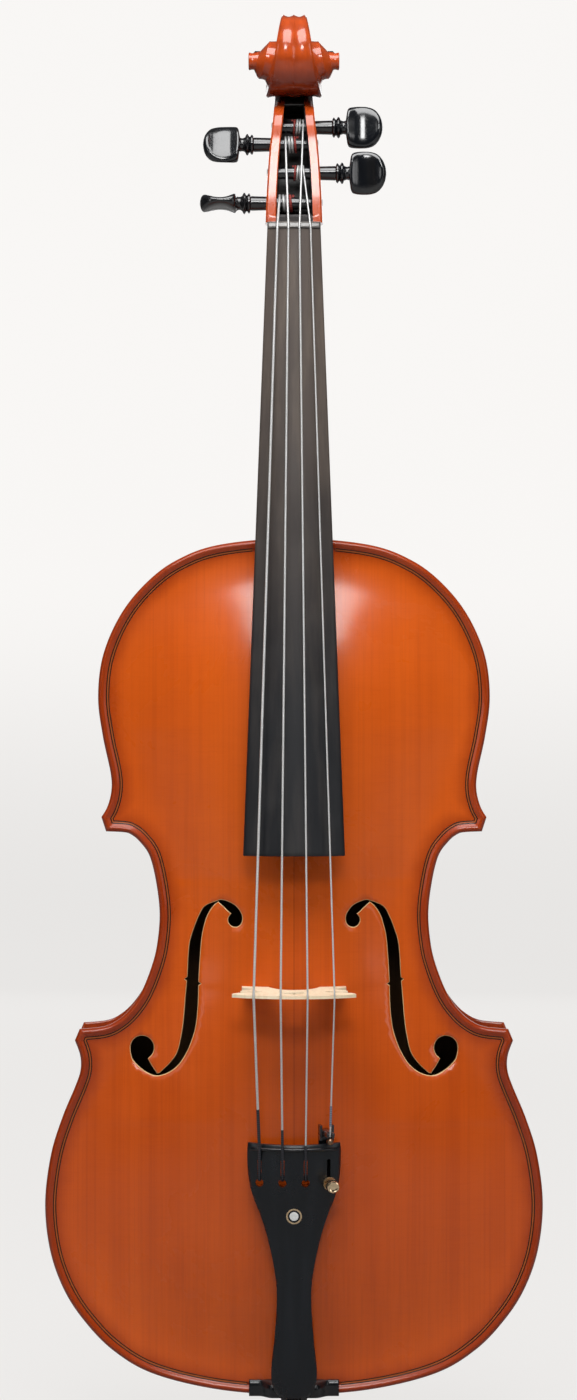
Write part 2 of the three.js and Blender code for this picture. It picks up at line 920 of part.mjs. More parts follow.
/** The hollow in which the strings are wound, open to the front. */
function pegboxCavity() {
  const open = headHeight(1) + cutOverrun;
  const rings = cavityShares.map((share) => {
    const along = headAlong(share);
    const half = innerHalfWidth(share);
    const floor = headHeight(pegboxRead(share, 2)) + pegboxFloor;
    return [
      at(half, open, along),
      at(half, floor, along),
      at(-half, floor, along),
      at(-half, open, along),
    ];
  });
  return solid(skin(rings));
}

/** The volute, laid out turn by turn. Each row holds the fluted rim; at its edge starts the
 * flank that runs in to the foot of the next turn, and there the next turn's wall rises. */
function volute() {
  const quarters = voluteShares.length - 1;
  const stepsPerQuarter = turnSteps / 4;
  const steps = quarters * stepsPerQuarter;
  const radii = voluteShares.map(([radius]) => radius * voluteRadius);
  const halves = voluteShares.map(([, width]) => width * voluteHalfWidth);
  const radiusAt = (step) => smoothRead(radii, step / stepsPerQuarter);
  const halfAt = (step) => smoothRead(halves, step / stepsPerQuarter);
  const place = (step, radius, across) => {
    const turn = -Math.PI / 2 + (2 * Math.PI * step) / turnSteps;
    return at(
      across,
      eyeHeight + radius * Math.sin(turn),
      eyeAlong + radius * Math.cos(turn),
    );
  };
  const corners = [];
  const add = (corner) => corners.push(corner) - 1;
  const faces = [];
  const quad = (a, b, c, d) => faces.push(a, b, c, a, c, d);
  const rim = [];
  for (let step = 0; step <= turnSteps; step++) {
    const radius = radiusAt(step);
    const half = halfAt(step);
    rim.push(
      rimShares.map((share, k) => {
        const sunk = k % 2 ? fluteDepth : 0;
        return add(place(step, radius - sunk, share * half));
      }),
    );
  }
  const edges = [-1, 1].map((side) =>
    Array.from({ length: steps + 1 }, (_, step) => {
      if (step <= turnSteps) return rim[step][side < 0 ? 0 : rimShares.length - 1];
      return add(place(step, radiusAt(step), side * halfAt(step)));
    }),
  );
  const feet = [-1, 1].map((side) =>
    Array.from({ length: steps - turnSteps + 1 }, (_, step) => {
      const outer = side * (halfAt(step) + footOffset);
      return add(place(step, radiusAt(step + turnSteps) + footOffset, outer));
    }),
  );
  for (let step = 0; step < turnSteps; step++) {
    for (let k = 0; k < rimShares.length - 1; k++) {
      quad(rim[step][k], rim[step][k + 1], rim[step + 1][k + 1], rim[step + 1][k]);
    }
  }
  [-1, 1].forEach((side, s) => {
    const [edge, foot] = [edges[s], feet[s]];
    const turned = (a, b, c, d) => (side > 0 ? quad(a, b, c, d) : quad(d, c, b, a));
    for (let step = 0; step < foot.length - 1; step++) {
      turned(edge[step], foot[step], foot[step + 1], edge[step + 1]);
      turned(foot[step], edge[step + turnSteps], edge[step + 1 + turnSteps], foot[step + 1]);
    }
    // The last turn closes on the middle of the eye.
    const middle = add(place(steps, 0, side * halfAt(steps)));
    const rimOfEye = [...edge.slice(foot.length - 1), foot[foot.length - 1]];
    rimOfEye.forEach((corner, i) => {
      const next = rimOfEye[(i + 1) % rimOfEye.length];
      if (side > 0) faces.push(corner, middle, next);
      else faces.push(corner, next, middle);
    });
  });
  // The flat end at the back of the head, where the volute grows out of the pegbox.
  const end = [
    ...rim[0],
    feet[1][0],
    ...[...rim[turnSteps]].reverse(),
    feet[0][0],
  ];
  const ring = end.map((corner) => corners[corner]);
  const cap = capFaces(ring, 0);
  const flipped = [];
  for (let i = 0; i < cap.length; i += 3) flipped.push(cap[i], cap[i + 2], cap[i + 1]);
  faces.push(...flipped.map((corner) => end[corner]));
  const geometry = new THREE.BufferGeometry().setFromPoints(corners);
  geometry.setIndex(faces);
  return solid(geometry);
}

const pegPlaces = pegShares.map(([string, way, depth, side, out, turn, laid]) => ({
  string,
  side,
  turn,
  along: headAlong(way),
  height: headHeight(depth),
  cheek: pegboxRead(way, 3) * pegboxHalfWidth,
  collar: out * pegboxHalfWidth,
  laid: side * laid * pegboxHalfWidth,
}));

/** A peg's radius at a distance towards its head from the middle of the pegbox. */
const pegRadius = (across) =>
  mix(pegTipRadius, pegCheekRadius, (across + pegboxHalfWidth) / (2 * pegboxHalfWidth));

function head() {
  const half = pegboxHalfWidth + pegClearance;
  const holes = pegPlaces.map(({ side, height, along }) => {
    const [from, to] = side > 0 ? [-half, half] : [half, -half];
    const radii = [pegRadius(-half), pegRadius(half)].map((radius) => radius + pegClearance);
    const [low, high] = side > 0 ? radii : [...radii].reverse();
    const bar = crossBar(Math.min(from, to), Math.max(from, to), low, high, height, along, holeSides);
    return solid(bar);
  });
  const eye = crossBar(
    -voluteHalfWidth,
    voluteHalfWidth,
    voluteEyeRadius,
    voluteEyeRadius,
    eyeHeight,
    eyeAlong,
    holeSides,
  );
  const carved = pegboxBlock().subtract(pegboxCavity()).add(volute()).add(solid(eye));
  return holes.reduce((whole, hole) => whole.subtract(hole), carved);
}

// The fingerboard and the nut

/** One cross-section of the fingerboard: a round top and a flat or hollowed underside. */
function boardRing(along, hollow) {
  const half = boardHalfWidth(along);
  const top = Array.from({ length: crownSteps + 1 }, (_, k) => {
    const across = mix(-half, half, k / crownSteps);
    return at(across, boardTop(along, across), along);
  });
  const inner = half - boardHollowRim;
  const under = [...rimShares].reverse().map((share) => {
    const rise = hollow * (1 - share ** 2);
    return at(share * inner, glueHeight(along) + glueGap + rise, along);
  });
  const low = glueHeight(along) + glueGap;
  return [...top, at(half, low, along), ...under, at(-half, low, along)];
}

const fingerboard = skin([
  boardRing(boardEnd, boardHollowDepth),
  boardRing(bodyTop - heelLength, boardHollowDepth),
  boardRing(bodyTop, 0),
  boardRing(nutFront - glueGap, 0),
]);

/** The nut's top, a little above the fingerboard and falling off towards the pegs. */
const nutTop = (across) => boardTop(nutFront, across) + nutRise;

const nut = skin(
  [0, nutCrest, nutLength].map((back) => {
    const along = nutFront + back;
    const half = boardHalfWidthAtNut;
    const top = Array.from({ length: crownSteps + 1 }, (_, k) => {
      const across = mix(-half, half, k / crownSteps);
      return at(across, nutTop(across) - (back > nutCrest ? nutFall : 0), along);
    });
    const low = glueHeight(along) + glueGap;
    return [...top, at(half, low, along), at(-half, low, along)];
  }),
);

// The pegs, each laid along its own x axis with the middle of the pegbox at zero

function peg(collar, cheek) {
  const round = (across, radius) => [across, radius, radius];
  const stations = [
    round(-cheek - pegTipReach, pegRadius(-cheek - pegTipReach) / 2),
    round(-cheek - pegTipReach / 2, pegRadius(-cheek)),
    round(0, pegRadius(0)),
    round(collar, pegRadius(collar)),
    round(collar, pegCollarRadius),
    round(collar + pegCollarThickness, pegCollarRadius),
    round(collar + 1.5 * pegCollarThickness, pegRadius(0)),
    ...pegHeadShares.map(([way, width, thickness]) => [
      collar + way * pegHeadLength,
      width * pegHeadHalfWidth,
      thickness * pegHeadHalfThickness,
    ]),
  ];
  const rings = stations.map(([across, halfWidth, halfThickness]) =>
    Array.from({ length: pegSides }, (_, k) => {
      const turn = (2 * Math.PI * (k + 0.5)) / pegSides;
      return new THREE.Vector3(
        across,
        halfThickness * Math.cos(turn),
        halfWidth * Math.sin(turn),
      );
    }),
  );
  return skin(rings);
}

// The strings

const stringPlaces = pegPlaces.map((place, i) => {
  const step = i - 1.5;
  const radius = stringRadii[i];
  const atBridge = step * stringSpreadAtBridge;
  const atNut = step * stringSpreadAtNut;
  return {
    ...place,
    radius,
    atTail: step * stringSpreadAtTail,
    bridge: at(
      atBridge,
      bridgeTopHeight - crownFall(boardRadius, atBridge) + radius + seatGap,
      bridgeAlong + bridgeTopThickness / 2,
    ),
    nut: at(atNut, nutTop(atNut) + radius + seatGap, nutFront + nutCrest),
  };
});

/** The circle on which a string lies round its peg. */
function layRadius({ side, laid, radius }) {
  return pegRadius(side * laid) + radius + pegClearance;
}

/** The string's way from the nut to its peg and half a turn round it. */
function pegEnd(string) {
  const lay = layRadius(string);
  const reach = string.along - string.nut.z;
  const climb = -string.nut.y - string.height;
  const distance = Math.hypot(reach, climb);
  const first = Math.atan2(climb, -reach) - Math.acos(lay / distance);
  const steps = windingSteps / 2;
  return Array.from({ length: steps + 1 }, (_, k) => {
    const turn = first - (Math.PI * k) / steps;
    return at(
      string.laid,
      string.height + lay * Math.sin(turn),
      string.along + lay * Math.cos(turn),
    );
  });
}

/** The turns that stay on the peg, beside the string's own half turn, in the peg's place. */
function winding(string) {
  const inwards = -Math.sign(string.laid);
  const pitch = 2 * string.radius + windingGap;
  const lay = pegRadius(0) + string.radius + pegClearance;
  const points = [];
  for (let step = 0; step <= windingTurns * windingSteps; step++) {
    const turns = step / windingSteps;
    const turn = 2 * Math.PI * turns;
    const across = string.laid + inwards * pitch * (1 + turns);
    points.push(new THREE.Vector3(across, -lay * Math.sin(turn), lay * Math.cos(turn)));
  }
  return points;
}

/** The least gap between a winding's own turns, measured from point to point. */
function leastGap(points, radius) {
  let least = Infinity;
  points.forEach((point, i) => {
    points.slice(i + windingSteps / 2).forEach((other) => {
      least = Math.min(least, point.distanceTo(other) - 2 * radius);
    });
  });
  return least;
}

// The tailpiece

const tailSlope = Math.atan2(tailpieceTopUnder - tailpieceEndUnder, tailpieceLength);
const tailUnder = (along) =>
  mix(tailpieceTopUnder, tailpieceEndUnder, (tailpieceTopAlong - along) / tailpieceLength);

/** The tailpiece's half width at a share of the way from its top to its end. */
function tailHalfWidth(share) {
  const next = Math.max(tailpieceShares.findIndex(([way]) => way >= share), 1);
  const [from, to] = [tailpieceShares[next - 1], tailpieceShares[next]];
  return mix(from[1], to[1], (share - from[0]) / (to[0] - from[0])) * tailpieceHalfWidth;
}

/** The height of the tailpiece's round top. */
function tailTop(along, across) {
  const share = (tailpieceTopAlong - along) / tailpieceLength;
  const half = tailHalfWidth(share);
  const crown = mix(crownFall(tailpieceCrownRadius, half), tailpieceEndCrown, share);
  return tailUnder(along) + tailpieceSide + crown * (1 - (across / half) ** 2);
}

function tailpiece() {
  const rings = tailpieceShares.map(([share]) => {
    const along = mix(tailpieceTopAlong, tailpieceEndAlong, share);
    const half = tailHalfWidth(share);
    const top = Array.from({ length: crownSteps + 1 }, (_, k) => {
      const across = mix(-half, half, k / crownSteps);
      return at(across, tailTop(along, across), along);
    });
    const low = tailUnder(along);
    return [...top, at(half, low, along), at(-half, low, along)];
  });
  const hollow = new THREE.CylinderGeometry(
    tailpieceHollowRadius,
    tailpieceHollowRadius,
    2 * tailpieceLength,
    hollowSides,
  );
  hollow.rotateX(Math.PI / 2 + tailpieceHollowSlope);
  const crown = tailTop(tailpieceTopAlong, 0) - tailpieceThickness - tailpieceHollowRadius;
  hollow.translate(0, -crown, tailpieceTopAlong);
  let made = solid(skin(rings)).subtract(solid(hollow));
  keyholes.forEach((keyhole) => {
    const { across, along } = keyhole;
    const isTuned = keyhole === tunerKeyhole;
    const radius = isTuned ? tunerHoleRadius : keyholeRadius;
    const drill = new THREE.CylinderGeometry(radius, radius, cutOverrun, holeSides);
    if (isTuned) drill.rotateZ(tunerTilt).rotateX(tailSlope);
    drill.translate(across, -tailTop(along, across), along);
    const slot = new THREE.BoxGeometry(keyholeSlotWidth, cutOverrun, keyholeSlotLength);
    slot.translate(across, -tailUnder(along), along + keyholeSlotLength / 2);
    made = made.subtract(solid(drill)).subtract(solid(slot));
  });
  [-1, 1].forEach((side) => {
    const bore = cord(
      [gutEntry(side, -cutOverrun), gutEntry(side, gutInside + gutRadius)],
      gutRadius + seatGap,
      gutSides,
    );
    made = made.subtract(solid(bore));
  });
  return made.subtract(inlayHole());
}

const eyeInlayAlong = tailpieceTopAlong - eyeInlayInset;
const eyeInlayTop = tailTop(eyeInlayAlong, eyeInlayRadius);

/** A disc that lies in the tailpiece's top, down to a depth. */
function inlayDisc(radius, depth) {
  const disc = new THREE.CylinderGeometry(radius, radius, depth, turnSteps);
  disc.translate(0, -depth / 2, 0);
  disc.rotateX(tailSlope + Math.PI);
  disc.translate(0, -eyeInlayTop, eyeInlayAlong);
  return disc;
}

/** The hole sunk into the tailpiece's top for its round inlay. */
function inlayHole() {
  const sunk = solid(inlayDisc(eyeInlayRadius + glueGap, eyeInlayDepth + glueGap));
  return sunk.add(solid(inlayDisc(eyeInlayRadius + glueGap, -eyeInlayDepth)));
}

const keyholes = stringPlaces.map(({ atTail }) => ({
  across: atTail,
  along: tailpieceTopAlong - keyholeInset,
}));
const tunerKeyhole = keyholes[keyholes.length - 1];

/** A place on the tailgut's bore in the tailpiece's end, a distance up into it. */
function gutEntry(side, inside) {
  const along = tailpieceEndAlong + inside * Math.cos(tailSlope);
  const height = tailUnder(tailpieceEndAlong) + tailpieceSide / 2 + gutRadius / 2;
  return at(side * gutSpread, height + inside * Math.sin(tailSlope), along);
}

/** The fret that carries the strings over the tailpiece's top end. */
function tailFret() {
  const along = tailpieceTopAlong - fretInset;
  const half = tailHalfWidth(fretInset / tailpieceLength) - fretWidth;
  const rings = Array.from({ length: crownSteps + 1 }, (_, k) => {
    const across = mix(-half, half, k / crownSteps);
    const low = tailTop(along, across) - fretDepth;
    const high = low + fretDepth + fretRise;
    return [
      at(across, low, along - fretWidth / 2),
      at(across, high, along - fretWidth / 4),
      at(across, high, along + fretWidth / 4),
      at(across, low, along + fretWidth / 2),
    ];
  });
  return skin(rings);
}

/** The height of the tailpiece's hollowed underside. */
function tailHollow(along, across) {
  const crown = tailTop(tailpieceTopAlong, 0) - tailpieceThickness;
  const fallen = (tailpieceTopAlong - along) * Math.tan(tailpieceHollowSlope);
  const hollow = crown - fallen - crownFall(tailpieceHollowRadius, across);
  return Math.max(tailUnder(along), hollow);
}

/** The ball that stops a string under its keyhole. */
function ballUnder({ across, along }) {
  const back = along + ballRadius + seatGap;
  return at(across, tailHollow(back, across) - ballRadius - pegClearance, back);
}

/** The string's way over the tailpiece's fret and down through its keyhole. */
function tailEnd(string, keyhole) {
  const fretAlong = tailpieceTopAlong - fretInset;
  const over = tailTop(fretAlong, string.atTail) + fretRise + string.radius + seatGap;
  const down = keyhole.along + keyholeRadius - string.radius;
  return [
    ballUnder(keyhole),
    at(keyhole.across, tailTop(down, keyhole.across) - 2 * string.radius, down),
    at(string.atTail, over, fretAlong),
  ];
}

// The fine tuner, laid out from its keyhole: across, above the tailpiece, towards the bridge

const tunerPlace = at(
  tunerKeyhole.across,
  tailTop(tunerKeyhole.along, tunerKeyhole.across),
  tunerKeyhole.along,
);
const tunerGroup = new THREE.Group();
tunerGroup.position.copy(tunerPlace);
tunerGroup.rotation.set(tailSlope, 0, tunerTilt);
tunerGroup.updateMatrixWorld(true);

/** A block of the tuner between two corners. */
function tunerBlock(fromAcross, toAcross, fromHeight, toHeight, fromAlong, toAlong) {
  const block = new THREE.BoxGeometry(
    toAcross - fromAcross,
    toHeight - fromHeight,
    toAlong - fromAlong,
  );
  block.translate(
    (fromAcross + toAcross) / 2,
    -(fromHeight + toHeight) / 2,
    (fromAlong + toAlong) / 2,
  );
  return solid(block);
}

/** A round part of the tuner along its screw. */
function tunerRound(radius, fromHeight, toHeight, sides) {
  const round = new THREE.CylinderGeometry(radius, radius, toHeight - fromHeight, sides);
  round.translate(0, -(fromHeight + toHeight) / 2, 0);
  return solid(round);
}

const tunerInner = tunerHalfWidth - tunerCheekThickness;
const tunerBaseLow = -tunerBaseDrop - tunerBaseThickness;

function tunerBody() {
  const base = tunerBlock(
    -tunerHalfWidth,
    tunerHalfWidth,
    tunerBaseLow,
    -tunerBaseDrop,
    -tunerBaseBack,
    tunerCheekStart + tunerCheekThickness,
  );
  const cheeks = [-1, 1].map((side) =>
    tunerBlock(
      Math.min(side * tunerInner, side * tunerHalfWidth),
      Math.max(side * tunerInner, side * tunerHalfWidth),
      tunerBaseLow,
      -tunerBaseDrop + tunerCheekRise,
      tunerCheekStart,
      tunerCheekEnd,
    ),
  );
  const post = tunerRound(tunerPostRadius, -tunerBaseDrop - tunerGap, tunerPostTop, tunerSides);
  const bore = tunerRound(tunerScrewRadius + tunerGap, -cutOverrun, cutOverrun, tunerSides);
  const hinge = crossBar(
    -tunerHalfWidth - tunerGap,
    tunerHalfWidth + tunerGap,
    tunerPinRadius + tunerGap,
    tunerPinRadius + tunerGap,
    -tunerPivotDrop,
    tunerPivotReach,
    tunerSides,
  );
  return base.add(cheeks[0]).add(cheeks[1]).add(post).subtract(bore).subtract(solid(hinge));
}

function tunerLever() {
  const half = tunerInner - tunerGap;
  const forkBack = tunerPivotReach - tunerForkThickness / 2;
  const forkFront = tunerPivotReach + tunerForkThickness / 2;
  const low = -tunerArmDrop - tunerArmThickness;
  const arm = tunerBlock(-half, half, low, -tunerArmDrop, -tunerBaseBack, forkFront);
  const fork = tunerBlock(-half, half, low, tunerForkTop, forkBack, forkFront);
  const slot = tunerBlock(
    -tunerForkSlotWidth / 2,
    tunerForkSlotWidth / 2,
    tunerForkSlotFloor,
    cutOverrun,
    forkBack - tunerGap,
    forkFront + tunerGap,
  );
  const pin = crossBar(
    -tunerHalfWidth,
    tunerHalfWidth,
    tunerPinRadius,
    tunerPinRadius,
    -tunerPivotDrop,
    tunerPivotReach,
    tunerSides,
  );
  return arm.add(fork).add(solid(pin)).subtract(slot);
}

function tunerClamp() {
  const top = tunerClampLift + tunerClampHeight;
  const ring = tunerRound(tunerClampRadius, tunerClampLift, top, tunerSides);
  const bore = tunerRound(tunerPostRadius + tunerGap, -cutOverrun, cutOverrun, tunerSides);
  return ring.subtract(bore);
}

function tunerScrew() {
  const tip = -tunerArmDrop + tunerGap;
  const shank = tunerRound(tunerScrewRadius, tip, tunerHeadLift + tunerGap, tunerSides / 2);
  const headTop = tunerHeadLift + tunerHeadHeight;
  return shank.add(tunerRound(tunerHeadRadius, tunerHeadLift, headTop, tunerSides));
}

const tunerForkBack = tunerPivotReach - tunerForkThickness / 2;
const tunerBallAlong = tunerForkBack - ballRadius - tunerGap;
const tunerBall = at(0, tunerBallHeight, tunerBallAlong);
const tunerStringEnd = at(0, tunerBallHeight, tunerForkBack + tunerGap);

// The saddle, the end button and the tailgut

const saddleOutline = [
  [-saddleHalfWidth, ribHalf],
  [saddleHalfWidth, ribHalf],
  [saddleHalfWidth, saddleFlankHeight],
  [saddleFlankHalfWidth, saddleFlankHeight],
  [saddleTopHalfWidth, saddleTopHeight],
  [-saddleTopHalfWidth, saddleTopHeight],
  [-saddleFlankHalfWidth, saddleFlankHeight],
  [-saddleHalfWidth, saddleFlankHeight],
];
const saddleEnd = bodyBottom + saddleLength;

const ribOuterAlong = bodyBottom + overhang;
const buttonCollarTop = ribOuterAlong - pegClearance;
const buttonNeckTop = buttonHeadLength + buttonNeckLength + buttonHeadRadius - buttonNeckRadius;
const buttonProfile = [
  [0, 0],
  [buttonFaceRadius, 0],
  [buttonHeadRadius, buttonHeadRadius - buttonFaceRadius],
  [buttonHeadRadius, buttonHeadLength],
  [buttonNeckRadius, buttonHeadLength + buttonHeadRadius - buttonNeckRadius],
  [buttonNeckRadius, buttonNeckTop],
  [buttonCollarRadius, buttonNeckTop + glueGap],
  [buttonCollarRadius, buttonCollarTop],
  [buttonShankRadius, buttonCollarTop],
  [buttonShankTip, buttonCollarTop + buttonShankLength],
  [0, buttonCollarTop + buttonShankLength],
].map(([radius, along]) => new THREE.Vector2(radius, along));

/** The tailgut's way: out of the tailpiece, over the saddle, round the button and back. */
function tailgutWay() {
  const lay = buttonNeckRadius + gutRadius + pegClearance;
  const middle = buttonHeadLength + buttonHeadRadius - buttonNeckRadius + 2 * gutRadius;
  const drop = (side) => [
    gutEntry(side, gutInside),
    gutEntry(side, 0),
    at(side * gutSpread, saddleTopHeight + 4 * gutRadius, bodyBottom - gutRadius / 2),
    at(side * mix(gutSpread, lay, 1 / 3), saddleTopHeight, bodyBottom - 2 * gutRadius),
    at(side * mix(gutSpread, lay, 2 / 3), ribHalf, bodyBottom - 2 * gutRadius),
    at(side * lay, gutRadius, middle),
  ];
  const round = Array.from({ length: gutTurnSteps + 1 }, (_, k) => {
    const turn = (Math.PI * k) / gutTurnSteps;
    return at(-lay * Math.cos(turn), -lay * Math.sin(turn), middle);
  });
  return [...drop(-1), ...round, ...drop(1).reverse()];
}

// The frame of the body

/** A strip that follows the outline between two of its places, on one side of the body. */
function strip(from, to, outerInset, innerInset, low, high, side) {
  const outer = insetLine(outline, outerInset);
  const inner = insetLine(outline, innerInset);
  const rings = [];
  for (let i = from; i <= to; i++) {
    rings.push([
      at(side * outer[i].x, low, outer[i].y),
      at(side * outer[i].x, high, outer[i].y),
      at(side * inner[i].x, high, inner[i].y),
      at(side * inner[i].x, low, inner[i].y),
    ]);
  }
  return solid(skin(rings));
}

const rib = (from, to, side) => strip(from, to, overhang, tuck, -ribHalf, ribHalf, side);

function lining(from, to, plateSide, side) {
  const heights = [ribHalf - liningHeight, ribHalf].map((height) => plateSide * height);
  return strip(from, to, tuck, tuck + liningWidth, ...heights, side);
}

/** A corner block between two places of the outline. */
function cornerBlock(from, to, side) {
  const outer = insetLine(outline, tuck).slice(from, to + 1);
  const inner = insetLine(outline, tuck + liningWidth);
  const places = [...outer, inner[to], inner[from]];
  const turned = places.map((place) => new THREE.Vector2(side * place.x, place.y));
  return solid(standing(turned, -ribHalf, ribHalf));
}

/** The block at the top or the bottom of the body, between two places of the outline. */
function endBlock(from, to, innerAlong) {
  const half = insetLine(outline, tuck).slice(from, to + 1);
  const seat = from === 0 ? to : from;
  const inner = insetLine(outline, tuck + liningWidth)[seat];
  const inside = new THREE.Vector2(inner.x, innerAlong);
  const run = from === 0 ? [...half, inner, inside] : [inside, inner, ...half];
  const other = run.filter((place) => place.x !== 0).reverse().map(mirrored);
  return solid(standing([...run, ...other], -ribHalf, ribHalf));
}

// The pieces

/** A varnish, wood or metal finish. */
const finish = (color, roughness, metalness = 0) =>
  new THREE.MeshStandardMaterial({ color, roughness, metalness });
const finishes = {
  bellyVarnish: () => finish(0xb85a1c, 0.25),
  backVarnish: () => finish(0xa8481a, 0.25),
  rawSpruce: () => finish(0xe6cfa0, 0.7),
  rawMaple: () => finish(0xe8d6ae, 0.65),
  ebony: () => finish(0x1c1a1a, 0.35),
  boardEbony: () => finish(0x33302e, 0.45),
  purfling: () => finish(0x2a1a10, 0.4),
  bridgeMaple: () => finish(0xf0dfb8, 0.55),
  steel: () => finish(0xc4c8cc, 0.3, 1),
  silk: () => finish(0x16181c, 0.6),
  gilt: () => finish(0xd9a440, 0.25, 1),
  bronze: () => finish(0xa66a2c, 0.35, 1),
  blackMetal: () => finish(0x101010, 0.35, 0.6),
  pearl: () => finish(0xf2f0ea, 0.3),
  nylon: () => finish(0x141414, 0.5),
};

async function build() {
  const viola = new THREE.Group();
  const hang = (parent, name, shape, material) => {
    const geometry = shape.isBufferGeometry ? geometryOf(solid(shape)) : geometryOf(shape);
    const mesh = new THREE.Mesh(geometry, material);
    mesh.name = name;
    parent.add(mesh);
    return mesh;
  };
  const add = (name, shape, material) => hang(viola, name, shape, material);
  const sides = [
    ["bass", -1],
    ["treble", 1],
  ];

  // The plates, and what is cut from them for the neck and the saddle
  const belly = plate(bellyArch, bellyThickness, 1);
  const back = plate(backArch, backThickness, -1);
  const mortise = neckRoot(seatGap);
  const saddleNotch = solid(
    lengthwise(
      [
        [-saddleHalfWidth - glueGap, ribHalf],
        [saddleHalfWidth + glueGap, ribHalf],
        [saddleHalfWidth + glueGap, ribHalf + cutOverrun],
        [-saddleHalfWidth - glueGap, ribHalf + cutOverrun],
      ],
      bodyBottom - cutOverrun,
      saddleEnd + glueGap,
    ),
  );
  const openings = mortise.add(saddleNotch);
  const cutBelly = belly.subtract(soundHole(-1)).subtract(soundHole(1)).subtract(openings);
  add("top_plate", cutBelly, finishes.bellyVarnish());
  const buttonSeat = bodyTop - buttonCentreDepth;
  const buttonPlaces = Array.from({ length: buttonSteps + 1 }, (_, k) => {
    const turn = (Math.PI * k) / buttonSteps;
    const place = new THREE.Vector2(Math.cos(turn), Math.sin(turn));
    return place.multiplyScalar(buttonRadius).add(new THREE.Vector2(0, buttonSeat));
  });
  const button = standing(buttonPlaces, -ribHalf, -ribHalf - edgeThickness);
  add("back_plate", back.add(solid(button)), finishes.backVarnish());
  const bellyPurfling = purfling(1).subtract(openings).decompose();
  bellyPurfling.forEach((half) => {
    const isTreble = half.boundingBox().max[0] > lowerHalfWidth / 2;
    add(`purfling_top_${isTreble ? "treble" : "bass"}`, half, finishes.purfling());
  });
  add("purfling_back", purfling(-1), finishes.purfling());

  // The ribs, the blocks and the linings
  const buttonHole = new THREE.CylinderGeometry(
    buttonShankRadius + pegClearance,
    buttonShankRadius + pegClearance,
    cutOverrun,
    tunerSides,
  );
  buttonHole.rotateX(Math.PI / 2);
  buttonHole.translate(0, 0, ribOuterAlong);
  const shankHole = solid(buttonHole);
  const cornerEnds = {
    upper: [upperTip - 1, waistStart + blockSteps],
    lower: [waistEnd - blockSteps, lowerTip + 1],
  };
  sides.forEach(([name, side]) => {
    const upperRib = rib(0, waistStart, side).subtract(mortise);
    const lowerRib = rib(waistEnd, bottomMiddle, side).subtract(shankHole);
    add(`rib_upper_${name}`, upperRib, finishes.backVarnish());
    add(`rib_waist_${name}`, rib(waistStart, waistEnd, side), finishes.backVarnish());
    add(`rib_lower_${name}`, lowerRib, finishes.backVarnish());
    Object.entries(cornerEnds).forEach(([corner, [from, to]]) => {
      add(`block_${corner}_${name}`, cornerBlock(from, to, side), finishes.rawSpruce());
    });
    [
      ["top", 1],
      ["back", -1],
    ].forEach(([plateName, plateSide]) => {
      const runs = {
        upper: [blockSteps, cornerEnds.upper[0]],
        waist: [cornerEnds.upper[1], cornerEnds.lower[0]],
        lower: [cornerEnds.lower[1], bottomMiddle - blockSteps],
      };
      Object.entries(runs).forEach(([bout, [from, to]]) => {
        const made = lining(from, to, plateSide, side);
        add(`lining_${plateName}_${bout}_${name}`, made, finishes.rawSpruce());
      });
    });
  });
  const neckBlock = endBlock(0, blockSteps, bodyTop - tuck - neckBlockDepth);
  add("block_neck", neckBlock.subtract(mortise), finishes.rawSpruce());
  const buttonBlock = endBlock(
    bottomMiddle - blockSteps,
    bottomMiddle,
    bodyBottom + tuck + endBlockDepth,
  );
  add("block_end", buttonBlock.subtract(shankHole), finishes.rawSpruce());

  // The bass bar and the sound post, cut to the plates they touch
  const sunkBelly = belly.translate([0, glueGap, 0]);
  const sunkBack = back.translate([0, -glueGap, 0]);
  const barRing = (across) =>
    [
      [barLowerEnd, ribHalf + bellyArch],
      [barLowerEnd, barEndHeight],
      [mix(barLowerEnd, barUpperEnd, 1 / 2), barMiddleHeight],
      [barUpperEnd, barEndHeight],
      [barUpperEnd, ribHalf + bellyArch],
    ].map(([along, height]) => at(across, height, along));
  const barMiddle = -barAcross;
  const bar = skin([barRing(barMiddle - barWidth / 2), barRing(barMiddle + barWidth / 2)]);
  add("bass_bar", largestBody(solid(bar).subtract(sunkBelly)), finishes.rawSpruce());
  const post = new THREE.CylinderGeometry(postRadius, postRadius, 2 * cutOverrun, holeSides);
  post.translate(postAcross, 0, bridgeAlong - postBehindBridge);
  const postCut = solid(post).subtract(sunkBelly).subtract(sunkBack);
  add("sound_post", largestBody(postCut), finishes.rawSpruce());

  // The neck with its head, the fingerboard and the nut
  const neck = neckShaft().add(neckRoot(0)).add(head());
  add("neck", neck, finishes.backVarnish());
  add("fingerboard", fingerboard, finishes.boardEbony());
  add("nut", nut, finishes.ebony());

